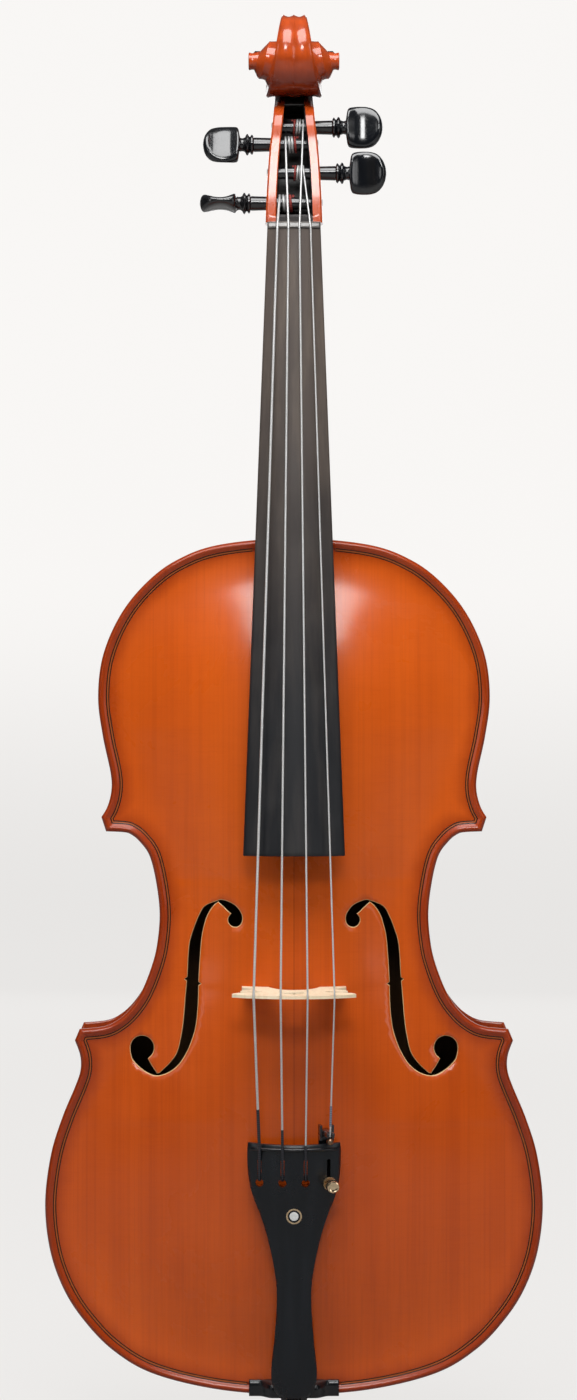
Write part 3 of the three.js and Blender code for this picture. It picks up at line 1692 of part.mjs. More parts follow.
  // The pegs with the turns wound on them, and the strings
  stringPlaces.forEach((string, i) => {
    const seat = new THREE.Group();
    seat.position.copy(at(0, string.height, string.along));
    const turned = new THREE.Group();
    turned.rotation.set(
      THREE.MathUtils.degToRad(string.turn),
      0,
      string.side < 0 ? Math.PI : 0,
    );
    viola.add(seat);
    seat.add(turned);
    hang(turned, `peg_${string.string}`, peg(string.collar, string.cheek), finishes.ebony());
    const turns = winding(string);
    console.log(
      `winding ${string.string}: least gap to itself`,
      leastGap(turns, string.radius).toFixed(2),
      "mm",
    );
    const wound = cord(turns, string.radius, stringSides);
    hang(seat, `winding_${string.string}`, wound, finishes.silk());
    const isTuned = keyholes[i] === tunerKeyhole;
    const start = isTuned
      ? [tunerStringEnd.clone().applyMatrix4(tunerGroup.matrixWorld)]
      : tailEnd(string, keyholes[i]);
    const way = [...start, string.bridge, string.nut, ...pegEnd(string)];
    let run = solid(cord(way, string.radius, stringSides));
    if (!isTuned) {
      const ball = new THREE.SphereGeometry(ballRadius, ballSides, ballSides / 2);
      ball.translate(...start[0].toArray());
      run = run.add(solid(ball));
    }
    const length = way.slice(1).reduce((sum, place, k) => sum + place.distanceTo(way[k]), 0);
    console.log(`string ${string.string}: ${length.toFixed(0)} mm from ball to peg`);
    add(`string_${string.string}`, run, finishes.steel());
  });

  // The bridge, thinned from its feet to its top and cut to the belly
  const bridgeRise = bridgeTopHeight - bridgeBase;
  const bridgeSide = bridgeShares.map(([out, up]) => [
    out * bridgeFootHalfWidth,
    bridgeBase + up * bridgeRise,
  ]);
  const bridgeCrown = Array.from({ length: crownSteps }, (_, k) => {
    const across = mix(bridgeTopHalfWidth, 0, k / crownSteps);
    return [across, bridgeTopHeight - crownFall(boardRadius, across)];
  });
  const bridgeHalf = [...bridgeSide, ...bridgeCrown];
  const bridgeOther = bridgeHalf
    .slice(1)
    .reverse()
    .map(([across, height]) => [-across, height]);
  const bridgeOutline = [...bridgeHalf, [0, bridgeTopHeight], ...bridgeOther];
  const bridgeFront = bridgeAlong + bridgeFootThickness;
  const bridgeBlank = solid(lengthwise(bridgeOutline, bridgeAlong, bridgeFront));
  const slopeRing = (across) =>
    [
      [bridgeFront, bridgeBase + bridgeRise / 4],
      [bridgeAlong + bridgeTopThickness, bridgeTopHeight],
      [bridgeAlong + bridgeTopThickness, bridgeTopHeight + cutOverrun],
      [bridgeFront + cutOverrun, bridgeTopHeight + cutOverrun],
      [bridgeFront + cutOverrun, bridgeBase + bridgeRise / 4],
    ].map(([along, height]) => at(across, height, along));
  const slope = solid(skin([slopeRing(-cutOverrun), slopeRing(cutOverrun)]));
  const heart = new THREE.CylinderGeometry(
    bridgeHeartRadius,
    bridgeHeartRadius,
    cutOverrun,
    tunerSides,
  );
  heart.rotateX(Math.PI / 2);
  heart.translate(0, -mix(bridgeBase, bridgeTopHeight, bridgeHeartShare), bridgeAlong);
  const raisedBelly = belly.translate([0, -glueGap, 0]);
  const cutBridge = bridgeBlank.subtract(slope).subtract(solid(heart)).subtract(raisedBelly);
  add("bridge", largestBody(cutBridge), finishes.bridgeMaple());

  // The tailpiece with its fret and its inlaid eye
  add("tailpiece", tailpiece().subtract(solid(tailFret())), finishes.ebony());
  add("tailpiece_fret", tailFret(), finishes.ebony());
  const ringDisc = solid(inlayDisc(eyeInlayRadius, eyeInlayDepth));
  const ringBore = eyeInlayRadius - eyeRingWidth;
  const under = solid(inlayDisc(ringBore, cutOverrun));
  const over = solid(inlayDisc(ringBore, -cutOverrun));
  add("inlay_ring", ringDisc.subtract(under).subtract(over), finishes.gilt());
  add("inlay_dot", inlayDisc(eyeDotRadius, eyeInlayDepth), finishes.pearl());

  // The fine tuner, whose ball end rides in the lever's fork
  viola.add(tunerGroup);
  hang(tunerGroup, "tuner_body", tunerBody(), finishes.blackMetal());
  hang(tunerGroup, "tuner_lever", tunerLever(), finishes.blackMetal());
  hang(tunerGroup, "tuner_clamp", tunerClamp(), finishes.gilt());
  hang(tunerGroup, "tuner_screw", tunerScrew(), finishes.gilt());
  const ballEnd = new THREE.SphereGeometry(ballRadius, ballSides, ballSides / 2);
  ballEnd.translate(...tunerBall.toArray());
  hang(tunerGroup, "ball_end_a", ballEnd, finishes.bronze());

  // The saddle, the end button and the tailgut that goes over the one and round the other
  const saddle = lengthwise(saddleOutline, bodyBottom + glueGap, saddleEnd);
  add("saddle", saddle, finishes.ebony());
  const endButton = new THREE.LatheGeometry(buttonProfile, turnSteps);
  endButton.rotateX(Math.PI / 2);
  add("end_button", endButton, finishes.ebony());
  const gutWay = tailgutWay();
  const gutLength = gutWay.slice(1).reduce((sum, place, k) => sum + place.distanceTo(gutWay[k]), 0);
  console.log(`tailgut: ${gutLength.toFixed(0)} mm`);
  add("tailgut", cord(gutWay, gutRadius, gutSides), finishes.nylon());
  return viola;
}

export default await build();
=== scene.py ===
# %% [markdown]
# # A viola, surface by surface
# A viola is a thin wooden box with a carved head, and nearly every face of it is curved.
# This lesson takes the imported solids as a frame, and lays a fine skin over each piece that
# shows. Each skin is worked out with numpy from a short table and a formula, the way a maker
# works from a template and a rule. The names of the pieces are the maker's own.

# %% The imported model
import json

import bmesh
import bpy
import numpy as np
from mathutils import Matrix, Vector
from mathutils.geometry import delaunay_2d_cdt

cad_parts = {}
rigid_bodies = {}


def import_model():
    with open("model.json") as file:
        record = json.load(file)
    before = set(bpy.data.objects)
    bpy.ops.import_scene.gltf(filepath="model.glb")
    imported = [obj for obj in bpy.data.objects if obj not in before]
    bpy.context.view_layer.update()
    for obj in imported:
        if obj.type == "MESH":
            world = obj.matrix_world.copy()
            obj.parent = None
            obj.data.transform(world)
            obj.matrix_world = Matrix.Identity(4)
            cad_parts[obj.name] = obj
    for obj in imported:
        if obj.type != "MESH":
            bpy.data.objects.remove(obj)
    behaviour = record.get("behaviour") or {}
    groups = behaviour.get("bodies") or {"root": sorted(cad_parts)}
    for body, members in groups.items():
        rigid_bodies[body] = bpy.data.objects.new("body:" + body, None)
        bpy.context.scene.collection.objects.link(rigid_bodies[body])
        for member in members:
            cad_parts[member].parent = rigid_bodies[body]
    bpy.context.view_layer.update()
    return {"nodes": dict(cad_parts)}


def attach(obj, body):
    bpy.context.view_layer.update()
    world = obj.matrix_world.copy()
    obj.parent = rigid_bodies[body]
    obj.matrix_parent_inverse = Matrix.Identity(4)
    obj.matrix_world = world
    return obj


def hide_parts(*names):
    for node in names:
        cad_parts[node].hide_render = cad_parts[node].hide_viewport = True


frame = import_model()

MM = 0.001
PI = np.pi
weld = 2e-6
two_sides = (("bass", -1), ("treble", 1))
print("packed nodes:", len(frame["nodes"]))

# %% [markdown]
# ## The maker's directions
# Places are given across the body (towards the thinnest string), by height (from the middle
# of the ribs towards the belly) and along it (from the end button to the scroll), all in
# millimetres. Blender wants metres with the height pointing to -Y, so one helper turns them.


# %% Directions, curves and tables
def at(across, height, along):
    """Places in metres: x = across, y = -height, z = along, each times a thousandth."""
    across, height, along = np.broadcast_arrays(across, height, along)
    return np.stack([across, -height, along], axis=-1) * MM


def mix(a, b, share):
    """a at share 0, b at share 1, and in proportion between them."""
    return a + (b - a) * share


def curve(rows, steps):
    """The curve through the rows, in so many steps from each to the next: the cubic that
    leaves and arrives parallel to the line between their neighbours."""
    rows = np.asarray(rows, float)
    rows = np.vstack([rows[:1], rows, rows[-1:]])
    spans = len(rows) - 3
    t = np.arange(spans * steps + 1) / steps
    k = np.minimum(t.astype(int), spans - 1)
    f = (t - k)[:, None]
    a, b, c, d = rows[k], rows[k + 1], rows[k + 2], rows[k + 3]
    return b + f / 2 * (c - a + f * (2 * a - 5 * b + 4 * c - d + f * (3 * (b - c) + d - a)))


def spaced(line, count):
    """count equally spaced places along a line of short straight steps."""
    reach = np.concatenate([[0], np.cumsum(np.linalg.norm(np.diff(line, axis=0), axis=1))])
    want = np.linspace(0, reach[-1], count)
    return np.stack([np.interp(want, reach, column) for column in line.T], axis=-1)


def smooth(rows, count):
    """count equally spaced places on the curve through the rows."""
    return spaced(curve(rows, 24), count)


def read(table, way):
    """The table's other columns where its first column is way, on the curve through its rows."""
    fine = smooth(table, 600)
    return [np.interp(way, fine[:, 0], column) for column in fine.T[1:]]


def circle(sides, start=0.0):
    """The turns of a full circle, in radians, without repeating the first."""
    return start + 2 * PI * np.arange(sides) / sides


# %% [markdown]
# ## From places to a piece
# A skin is a grid of places. Its faces are quads between neighbouring rows, its open ends
# are closed with one flat face each, and its edges stay crisp where two faces meet at more
# than a chosen angle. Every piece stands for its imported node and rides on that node's body.


# %% Skins and pieces
def quads(rows, cols, around=True, joined=False):
    """The quads of a grid whose rows may close on themselves and whose last row may join its first."""
    r = np.arange(rows if joined else rows - 1)[:, None]
    c = np.arange(cols if around else cols - 1)[None, :]
    near, far = r * cols, (r + 1) % rows * cols
    corners = [near + c, near + (c + 1) % cols, far + (c + 1) % cols, far + c]
    return np.stack(corners, axis=-1).reshape(-1, 4).tolist()


def skin(places, joined=False, capped=True):
    """A closed shell over rings of places, as (places, faces)."""
    rows, cols = places.shape[:2]
    faces = quads(rows, cols, joined=joined)
    if capped and not joined:
        faces += [list(range(cols))[::-1], list(range((rows - 1) * cols, rows * cols))]
    return places.reshape(-1, 3), faces


def rings_along(columns, along):
    """Rings of (across, height) places, each of which runs the whole way along."""
    return np.stack([at(x, h, along) for x, h in columns], axis=1)


def tube(path, radius, sides=14):
    """A cord: rings square to the path, each turned as little as can be from the one before."""
    path = np.asarray(path, float)
    ahead = np.gradient(path, axis=0)
    ahead /= np.linalg.norm(ahead, axis=1, keepdims=True)
    side = np.empty_like(path)
    last = np.array([0.0, 1.0, 0.0]) if abs(ahead[0, 1]) < 0.9 else np.array([1.0, 0.0, 0.0])
    for i, way in enumerate(ahead):
        last = last - way * (last @ way)
        last = last / np.linalg.norm(last)
        side[i] = last
    other = np.cross(ahead, side)
    turn = circle(sides)[None, :, None]
    reach = np.broadcast_to(radius, len(path))[:, None, None]
    return path[:, None] + reach * (np.cos(turn) * side[:, None] + np.sin(turn) * other[:, None])


def piece(name, shells, material, nodes, body="viola", crisp=38, values=None, kinds=None):
    """One object from (places, faces) shells, welded, facing out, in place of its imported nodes."""
    shells = [shells] if isinstance(shells, tuple) else shells
    places, faces, first = [], [], 0
    for part, cells in shells:
        places.append(part)
        faces += [[first + i for i in cell] for cell in cells]
        first += len(part)
    mesh = bpy.data.meshes.new(name)
    mesh.from_pydata(np.vstack(places).tolist(), [], faces)
    for key, numbers in (values or {}).items():
        told = mesh.attributes.new(key, "FLOAT", "POINT")
        told.data.foreach_set("value", np.ravel(numbers).astype(np.float32))
    if kinds is not None:
        mesh.polygons.foreach_set("material_index", np.asarray(kinds, np.int32))
    work = bmesh.new()
    work.from_mesh(mesh)
    bmesh.ops.remove_doubles(work, verts=work.verts, dist=weld)
    bmesh.ops.recalc_face_normals(work, faces=work.faces)
    work.to_mesh(mesh)
    work.free()
    mesh.polygons.foreach_set("use_smooth", np.ones(len(mesh.polygons), bool))
    mesh.set_sharp_from_angle(angle=np.radians(crisp))
    for finish in material if isinstance(material, list) else [material]:
        mesh.materials.append(finish)
    made = bpy.data.objects.new(name, mesh)
    bpy.context.scene.collection.objects.link(made)
    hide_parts(*([nodes] if isinstance(nodes, str) else nodes))
    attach(made, body)
    print(f"{name}: {len(mesh.vertices)} places, {len(mesh.polygons)} faces")


# %% [markdown]
# ## Finishes
# The colours are those of the photographed viola: a clear orange-brown varnish over spruce
# and flamed maple, ebony fittings, a bare maple bridge. Each kind of surface detail (grain,
# flame, streaks, smears) is a node group that is built once and placed in every material
# that needs it.


# %% Building node trees
def feed(tree, made, inputs):
    """Sets each input of a node to its value, or joins it to a socket."""
    for key, value in inputs.items():
        if isinstance(value, bpy.types.NodeSocket):
            tree.links.new(value, made.inputs[key])
        else:
            made.inputs[key].default_value = value
    return made


def node(tree, kind, inputs=None, **settings):
    """A node with its settings and its inputs."""
    made = tree.nodes.new("ShaderNode" + kind)
    for key, value in settings.items():
        setattr(made, key, value)
    return feed(tree, made, inputs or {})


def place_in(tree, axis=None):
    """Object coordinates in metres, all three or those of one axis, as a socket."""
    place = node(tree, "TexCoord").outputs["Object"]
    return node(tree, "SeparateXYZ", {0: place}).outputs[axis] if axis else place


def blend_colours(tree, share, first, second, way="MIX"):
    """The mixed colour's socket: first where share is 0, second where it is 1."""
    inputs = {0: share, 6: first, 7: second}
    return node(tree, "Mix", inputs, data_type="RGBA", blend_type=way).outputs[2]


def sums(tree, way, first, second=0.0, third=0.0):
    """One step of arithmetic, as a socket."""
    return node(tree, "Math", {0: first, 1: second, 2: third}, operation=way).outputs[0]


def band(tree, value, low, high, to_low=0.0, to_high=1.0):
    """The value's place between low and high, eased at both ends."""
    inputs = {"Value": value, 1: low, 2: high, 3: to_low, 4: to_high}
    return node(tree, "MapRange", inputs, interpolation_type="SMOOTHSTEP").outputs[0]


def stretched(tree, scale):
    """Object coordinates stretched along each axis by its own amount, per metre."""
    return node(tree, "Mapping", {"Vector": place_in(tree), "Scale": scale}).outputs[0]


def noise(tree, vector, scale=1.0, detail=3.0, rough=0.55, warp=0.0):
    """Soft random values from 0 to 1."""
    inputs = {"Vector": vector, "Scale": scale, "Detail": detail, "Roughness": rough, "Distortion": warp}
    return node(tree, "TexNoise", inputs).outputs["Fac"]


def start_group(name, takes, gives):
    """An empty node group with named inputs and outputs, and its two end nodes."""
    tree = bpy.data.node_groups.new(name, "ShaderNodeTree")
    for label, kind, value in takes:
        taken = tree.interface.new_socket(label, in_out="INPUT", socket_type="NodeSocket" + kind)
        taken.default_value = value
    for label, kind in gives:
        tree.interface.new_socket(label, in_out="OUTPUT", socket_type="NodeSocket" + kind)
    return tree, tree.nodes.new("NodeGroupInput"), tree.nodes.new("NodeGroupOutput")


def use(tree, group, inputs=None):
    """A group placed in a material, with its own values."""
    return node(tree, "Group", inputs, node_tree=group)


def finish(name, rough=0.4, coat=0.0, coat_rough=0.1, metal=0.0, specular=0.5):
    """A material with only its shader, and the plain values that are the same all over."""
    made = bpy.data.materials.new(name)
    made.use_nodes = True
    tree = made.node_tree
    shader = tree.nodes["Principled BSDF"]
    feed(tree, shader, {
        "Roughness": rough, "Coat Weight": coat, "Coat Roughness": coat_rough, "Metallic": metal,
        "Specular IOR Level": specular,
    })
    return made, tree, shader


def bumped(tree, shader, height, depth, strength=1.0):
    """Lets a height, in shares of depth in metres, tilt the shaded surface."""
    inputs = {"Height": height, "Distance": depth, "Strength": strength}
    tree.links.new(node(tree, "Bump", inputs).outputs[0], shader.inputs["Normal"])


# %% [markdown]
# ### Spruce grain
# A belly is two quarter-sawn boards joined down the middle, so its yearly rings show as
# fine dark lines along the body, closer together near the joint. Noise that is squeezed
# across and pulled long gives lines like that. Faint short flecks cross them.


# %% The spruce group
def spruce_group():
    """Three widths of squeezed noise make the lines; flecks and slow clouds are laid over."""
    tree, start, ends = start_group(
        "spruce grain",
        [
            ("Spring", "Color", (0.7, 0.25, 0.05, 1)), ("Summer", "Color", (0.4, 0.1, 0.02, 1)),
            ("Contrast", "Float", 1.0),
        ],
        [("Colour", "Color"), ("Line", "Float")],
    )
    wide = noise(tree, stretched(tree, (620, 90, 2.5)), detail=2.0, warp=0.1)
    narrow = noise(tree, stretched(tree, (1500, 300, 7)), detail=2.0)
    slow = noise(tree, stretched(tree, (70, 40, 1.6)), detail=3.0)
    fleck = noise(tree, stretched(tree, (90, 90, 1300)), detail=2.0)
    cloud = noise(tree, stretched(tree, (9, 9, 5)), detail=4.0)
    line = band(tree, wide, 0.44, 0.66)
    fine = band(tree, narrow, 0.42, 0.72)
    sweep = sums(tree, "MULTIPLY", band(tree, slow, 0.4, 0.66), 0.4)
    fine_and_wide = sums(tree, "MULTIPLY_ADD", fine, 0.25, sums(tree, "MULTIPLY", line, 0.35))
    lines = sums(tree, "ADD", sweep, fine_and_wide)
    part = sums(tree, "MULTIPLY", lines, start.outputs["Contrast"])
    grained = blend_colours(tree, part, start.outputs["Spring"], start.outputs["Summer"])
    flecks, clouds = band(tree, fleck, 0.5, 0.75, 0.0, 0.16), band(tree, cloud, 0.35, 0.75, 0.0, 0.28)
    flecked = blend_colours(tree, flecks, grained, (0.8, 0.62, 0.45, 1), "MULTIPLY")
    clouded = blend_colours(tree, clouds, flecked, (0.7, 0.5, 0.36, 1), "MULTIPLY")
    feed(tree, ends, {"Colour": clouded, "Line": lines})
    return tree


spruce = spruce_group()
print("group:", spruce.name)

# %% [markdown]
# ### Maple flame
# Back, ribs and neck are maple whose fibres wave, so bands across the grain turn light and
# dark. A wave along the body, bent by slow noise and broken by fine streaks, stands for them.


# %% The maple group
def maple_group():
    """sin(760 (z + slant |x|) + 7 n) is the flame, shown in patches and broken by streaks."""
    tree, start, ends = start_group(
        "maple flame",
        [
            ("Light", "Color", (0.7, 0.3, 0.08, 1)), ("Dark", "Color", (0.35, 0.1, 0.02, 1)),
            ("Contrast", "Float", 1.0), ("Slant", "Float", 0.25),
        ],
        [("Colour", "Color"), ("Band", "Float")],
    )
    slow = noise(tree, stretched(tree, (30, 30, 14)), detail=2.0)
    lean = sums(tree, "MULTIPLY", sums(tree, "ABSOLUTE", place_in(tree, "X")), start.outputs["Slant"])
    way = sums(tree, "ADD", place_in(tree, "Z"), lean)
    turns = sums(tree, "MULTIPLY_ADD", slow, 7.0, sums(tree, "MULTIPLY", way, 760.0))
    wave = sums(tree, "MULTIPLY_ADD", sums(tree, "SINE", turns), 0.5, 0.5)
    patch = band(tree, noise(tree, stretched(tree, (22, 22, 40)), detail=2.0), 0.3, 0.65)
    flame = sums(tree, "MULTIPLY", wave, patch)
    streak = noise(tree, stretched(tree, (700, 300, 16)), detail=2.0)
    streaks = band(tree, streak, 0.4, 0.75)
    share = sums(tree, "MULTIPLY_ADD", streaks, 0.35, sums(tree, "MULTIPLY", flame, 0.65))
    part = sums(tree, "MULTIPLY", share, start.outputs["Contrast"])
    shaded = blend_colours(tree, part, start.outputs["Light"], start.outputs["Dark"])
    feed(tree, ends, {"Colour": shaded, "Band": flame})
    return tree


maple = maple_group()
print("group:", maple.name)

# %% [markdown]
# ### Smears and pores
# A played instrument is never evenly glossy: breath, rosin and hands leave soft smears. The
# same group also gives the open pores of ebony, as short dark dashes along the wood.


# %% The smear and pore groups
def smear_group():
    """Soft clouds, as a share from 0 to 1 and as a roughness between two."""
    tree, start, ends = start_group(
        "smears",
        [("Low", "Float", 0.1), ("High", "Float", 0.3), ("Size", "Float", 14.0)],
        [("Roughness", "Float"), ("Cloud", "Float")],
    )
    cloud = noise(tree, place_in(tree), start.outputs["Size"], detail=6.0, rough=0.62, warp=0.6)
    eased = band(tree, cloud, 0.35, 0.72)
    reach = sums(tree, "SUBTRACT", start.outputs["High"], start.outputs["Low"])
    mixed = sums(tree, "MULTIPLY_ADD", eased, reach, start.outputs["Low"])
    feed(tree, ends, {"Roughness": mixed, "Cloud": eased})
    return tree


def ebony_group():
    """Long streaks of a browner colour, and pores as a height."""
    tree, start, ends = start_group(
        "ebony pores",
        [
            ("Wood", "Color", (0.02, 0.018, 0.018, 1)), ("Streak", "Color", (0.06, 0.045, 0.035, 1)),
            ("Amount", "Float", 0.6),
        ],
        [("Colour", "Color"), ("Pore", "Float")],
    )
    streak = noise(tree, stretched(tree, (160, 160, 7)), detail=4.0)
    pore = noise(tree, stretched(tree, (2400, 2400, 160)), detail=1.0)
    share = sums(tree, "MULTIPLY", band(tree, streak, 0.42, 0.72), start.outputs["Amount"])
    shaded = blend_colours(tree, share, start.outputs["Wood"], start.outputs["Streak"])
    feed(tree, ends, {"Colour": shaded, "Pore": band(tree, pore, 0.62, 0.75)})
    return tree


smears = smear_group()
ebony = ebony_group()
print("groups:", smears.name, "and", ebony.name)

# %% [markdown]
# ### The finishes themselves
# Varnish is a clear coat over coloured wood. The belly's wood is redder in its lower half;
# its paler wood above and in a strip at the very bottom is painted light: a painted sheen
# of the lamp and a painted reflection of the floor. The varnish gathers darkly along the
# edges, and the throat of the scroll is darkened as painted shade; the pegbox's hollow is
# dark paint and painted shade. Ebony is oiled and rubbed: dull on the fingerboard, which is
# painted lighter towards the nut as a painted glare, and glossier on the pegs; the nut is
# painted grey as a painted glare. Steel strings, gilt, bronze and black
# lacquer are the small metal parts. Every finish varies a little over its surface.

# %% Wood finishes
def linear(red, green, blue):
    """A colour as seen on the screen (0 to 255), as light."""
    seen = np.array([red, green, blue]) / 255
    light = np.where(seen <= 0.04045, seen / 12.92, ((seen + 0.055) / 1.055) ** 2.4)
    return (*light.tolist(), 1.0)


def edge_group():
    """The colour, redder and darker on the edge and in the channel beside it, where varnish
    and dust gather. The piece's own attribute tells how far inside the edge a place is."""
    white = ("Colour", "Color", (1, 1, 1, 1))
    tree, start, ends = start_group("gathered varnish", [white], [("Colour", "Color")])
    inside = node(tree, "Attribute", attribute_name="inside").outputs["Fac"]
    ragged = sums(tree, "MULTIPLY_ADD", noise(tree, place_in(tree), 60.0, detail=4.0), 6.0, inside)
    near = band(tree, ragged, 4.0, 16.0, 0.85, 0.0)
    dark = blend_colours(tree, near, start.outputs["Colour"], (0.44, 0.26, 0.2, 1), "MULTIPLY")
    feed(tree, ends, {"Colour": dark})
    return tree


edge_tint = edge_group()
# Where along the head, in metres, the painted shade in the scroll's throat begins and fades.
throat_shade_starts, throat_shade_ends = (0.6295, 0.633), (0.636, 0.657)


def smeared(tree, low, high, size):
    """The smears between two roughnesses, with so many clouds to the metre."""
    return use(tree, smears, {"Low": low, "High": high, "Size": size})


def cover(tree, shader, colour, cloud):
    """Joins a colour and the smears' roughness to the shader."""
    feed(tree, shader, {"Base Color": colour, "Roughness": cloud.outputs["Roughness"]})


def varnished_spruce():
    """Redder wood low on the belly; the paler wood above and at the very bottom is a painted sheen and a
    painted floor reflection.
    """
    made, tree, shader = finish("belly varnish", rough=0.4, coat=0.55, coat_rough=0.15, specular=0.2)
    high = use(tree, spruce, {"Spring": linear(224, 98, 22), "Summer": linear(198, 80, 18), "Contrast": 0.55})
    low = use(tree, spruce, {"Spring": linear(202, 84, 18), "Summer": linear(170, 64, 14), "Contrast": 0.6})
    aside = sums(tree, "ABSOLUTE", place_in(tree, "X"))
    cloud = smeared(tree, 0.24, 0.42, 11.0)
    drift = sums(tree, "MULTIPLY_ADD", cloud.outputs["Cloud"], 0.035, place_in(tree, "Z"))
    # Painted light: the paler colour on the upper bout is a painted sheen of the lamp, and the paler strip at
    # the very bottom is a painted reflection of the floor.
    share = sums(tree, "MAXIMUM", band(tree, drift, 0.14, 0.31), band(tree, drift, 0.04, 0.13, 0.55, 0.0))
    colour = blend_colours(tree, share, low.outputs["Colour"], high.outputs["Colour"])
    mottle = sums(tree, "MULTIPLY", noise(tree, stretched(tree, (34, 34, 70)), detail=5.0, warp=1.2), 0.45)
    colour = blend_colours(tree, mottle, colour, (0.82, 0.74, 0.7, 1), "MULTIPLY")
    colour = use(tree, edge_tint, {"Colour": colour}).outputs["Colour"]
    joint = band(tree, aside, 0.0001, 0.00035, 0.35, 0.0)
    colour = blend_colours(tree, joint, colour, (0.25, 0.07, 0.02, 1), "MULTIPLY")
    cover(tree, shader, colour, cloud)
    bumped(tree, shader, high.outputs["Line"], 0.00003, 0.3)
    return made


def varnished_maple(name, light, dark, contrast, slant=0.25, coat=0.85, edged=False, throat=False):
    """Flamed maple, darker along the plate's edge, with painted shade in the throat where the scroll begins.
    """
    made, tree, shader = finish(name, rough=0.33, coat=coat, coat_rough=0.08, specular=0.3)
    wood = use(tree, maple, {"Light": light, "Dark": dark, "Contrast": contrast, "Slant": slant})
    cloud = smeared(tree, 0.22, 0.4, 16.0)
    colour = wood.outputs["Colour"]
    if edged:
        colour = use(tree, edge_tint, {"Colour": colour}).outputs["Colour"]
    if throat:
        # Painted shade: the throat under the scroll is darkened where it lies in shadow.
        along = place_in(tree, "Z")
        above = band(tree, along, *throat_shade_starts)
        painted_throat_shade = sums(tree, "MULTIPLY", above, band(tree, along, *throat_shade_ends, 0.9, 0.0))
        colour = blend_colours(tree, painted_throat_shade, colour, (0.3, 0.16, 0.14, 1), "MULTIPLY")
    cover(tree, shader, colour, cloud)
    bumped(tree, shader, wood.outputs["Band"], 0.00006, 0.2)
    return made


def bare_wood(name, light, dark, contrast):
    """Dull unvarnished wood with a straight grain."""
    made, tree, shader = finish(name, rough=0.6, specular=0.3)
    wood = use(tree, spruce, {"Spring": light, "Summer": dark, "Contrast": contrast})
    cover(tree, shader, wood.outputs["Colour"], smeared(tree, 0.5, 0.72, 30.0))
    bumped(tree, shader, wood.outputs["Line"], 0.00005, 0.5)
    return made


def polished_ebony(name, wood, streak, low, high, amount=0.6, specular=0.5, coat=0.0):
    """Ebony as rough as its smears, with a second gloss where coat says so."""
    made, tree, shader = finish(name, rough=0.3, specular=specular, coat=coat, coat_rough=0.16)
    grain = use(tree, ebony, {"Wood": wood, "Streak": streak, "Amount": amount})
    cover(tree, shader, grain.outputs["Colour"], smeared(tree, low, high, 22.0))
    bumped(tree, shader, grain.outputs["Pore"], -0.00003, 0.5)
    return made


def ebony_with_painted_glare():
    """The fingerboard: black near its free end, and painted greyer and browner towards the nut
    as a painted glare, with a dull sheen."""
    made, tree, shader = finish("fingerboard ebony", rough=0.42, specular=0.28)
    black_ebony = use(tree, ebony, {"Wood": linear(30, 31, 34), "Streak": linear(52, 49, 48), "Amount": 0.6})
    # Painted glare: this lighter, browner tone towards the nut stands for the glare on the board.
    rubbed = use(tree, ebony, {"Wood": linear(86, 76, 70), "Streak": linear(106, 94, 84), "Amount": 0.7})
    wander = noise(tree, place_in(tree), 26.0, detail=4.0)
    drift = sums(tree, "MULTIPLY_ADD", wander, 0.09, place_in(tree, "Z"))
    share = band(tree, drift, 0.36, 0.6)
    colour = blend_colours(tree, share, black_ebony.outputs["Colour"], rubbed.outputs["Colour"])
    cover(tree, shader, colour, smeared(tree, 0.36, 0.54, 30.0))
    bumped(tree, shader, black_ebony.outputs["Pore"], -0.00003, 0.5)
    return made


def purfling_wood():
    """Three thin strips side by side, dark, pale and dark, told apart by the piece's own
    attribute that runs from 0 to 1 across the band."""
    made, tree, shader = finish("purfling", rough=0.45, coat=0.3, coat_rough=0.3, specular=0.15)
    across = node(tree, "Attribute", attribute_name="across").outputs["Fac"]
    centre = sums(tree, "ABSOLUTE", sums(tree, "SUBTRACT", across, 0.5))
    pale = band(tree, centre, 0.16, 0.22, 1.0, 0.0)
    streak = noise(tree, stretched(tree, (500, 500, 500)), detail=2.0)
    strip = blend_colours(tree, streak, linear(140, 66, 24), linear(178, 92, 36))
    colour = blend_colours(tree, pale, linear(24, 10, 6), strip)
    tree.links.new(colour, shader.inputs["Base Color"])
    return made


belly_varnish = varnished_spruce()
back_varnish = varnished_maple("back varnish", linear(206, 94, 30), linear(128, 46, 14), 0.85, edged=True)
rib_varnish = varnished_maple("rib varnish", linear(196, 86, 28), linear(120, 42, 14), 0.8, slant=0.0)
neck_varnish = varnished_maple(
    "head varnish", linear(202, 80, 26), linear(136, 46, 16), 0.5, slant=0.1, coat=1.0, throat=True,
)
bare_spruce = bare_wood("bare spruce", linear(222, 190, 140), linear(190, 150, 98), 0.8)
inside_wood = bare_wood("old inside wood", linear(92, 66, 42), linear(66, 46, 28), 0.7)
# The pegbox's hollow: dark paint that is also painted shade deep inside it.
pegbox_paint_and_shade = polished_ebony("dark paint and painted shade in the pegbox", linear(18, 13, 11), linear(34, 22, 16), 0.45, 0.6)
bridge_wood = bare_wood("bridge maple", linear(250, 236, 206), linear(226, 200, 158), 0.6)
fitting_ebony = polished_ebony("ebony", linear(14, 17, 21), linear(30, 29, 30), 0.15, 0.3)
peg_ebony = polished_ebony("rubbed shiny ebony", linear(13, 16, 21), linear(32, 29, 27), 0.14, 0.28, coat=1.0)
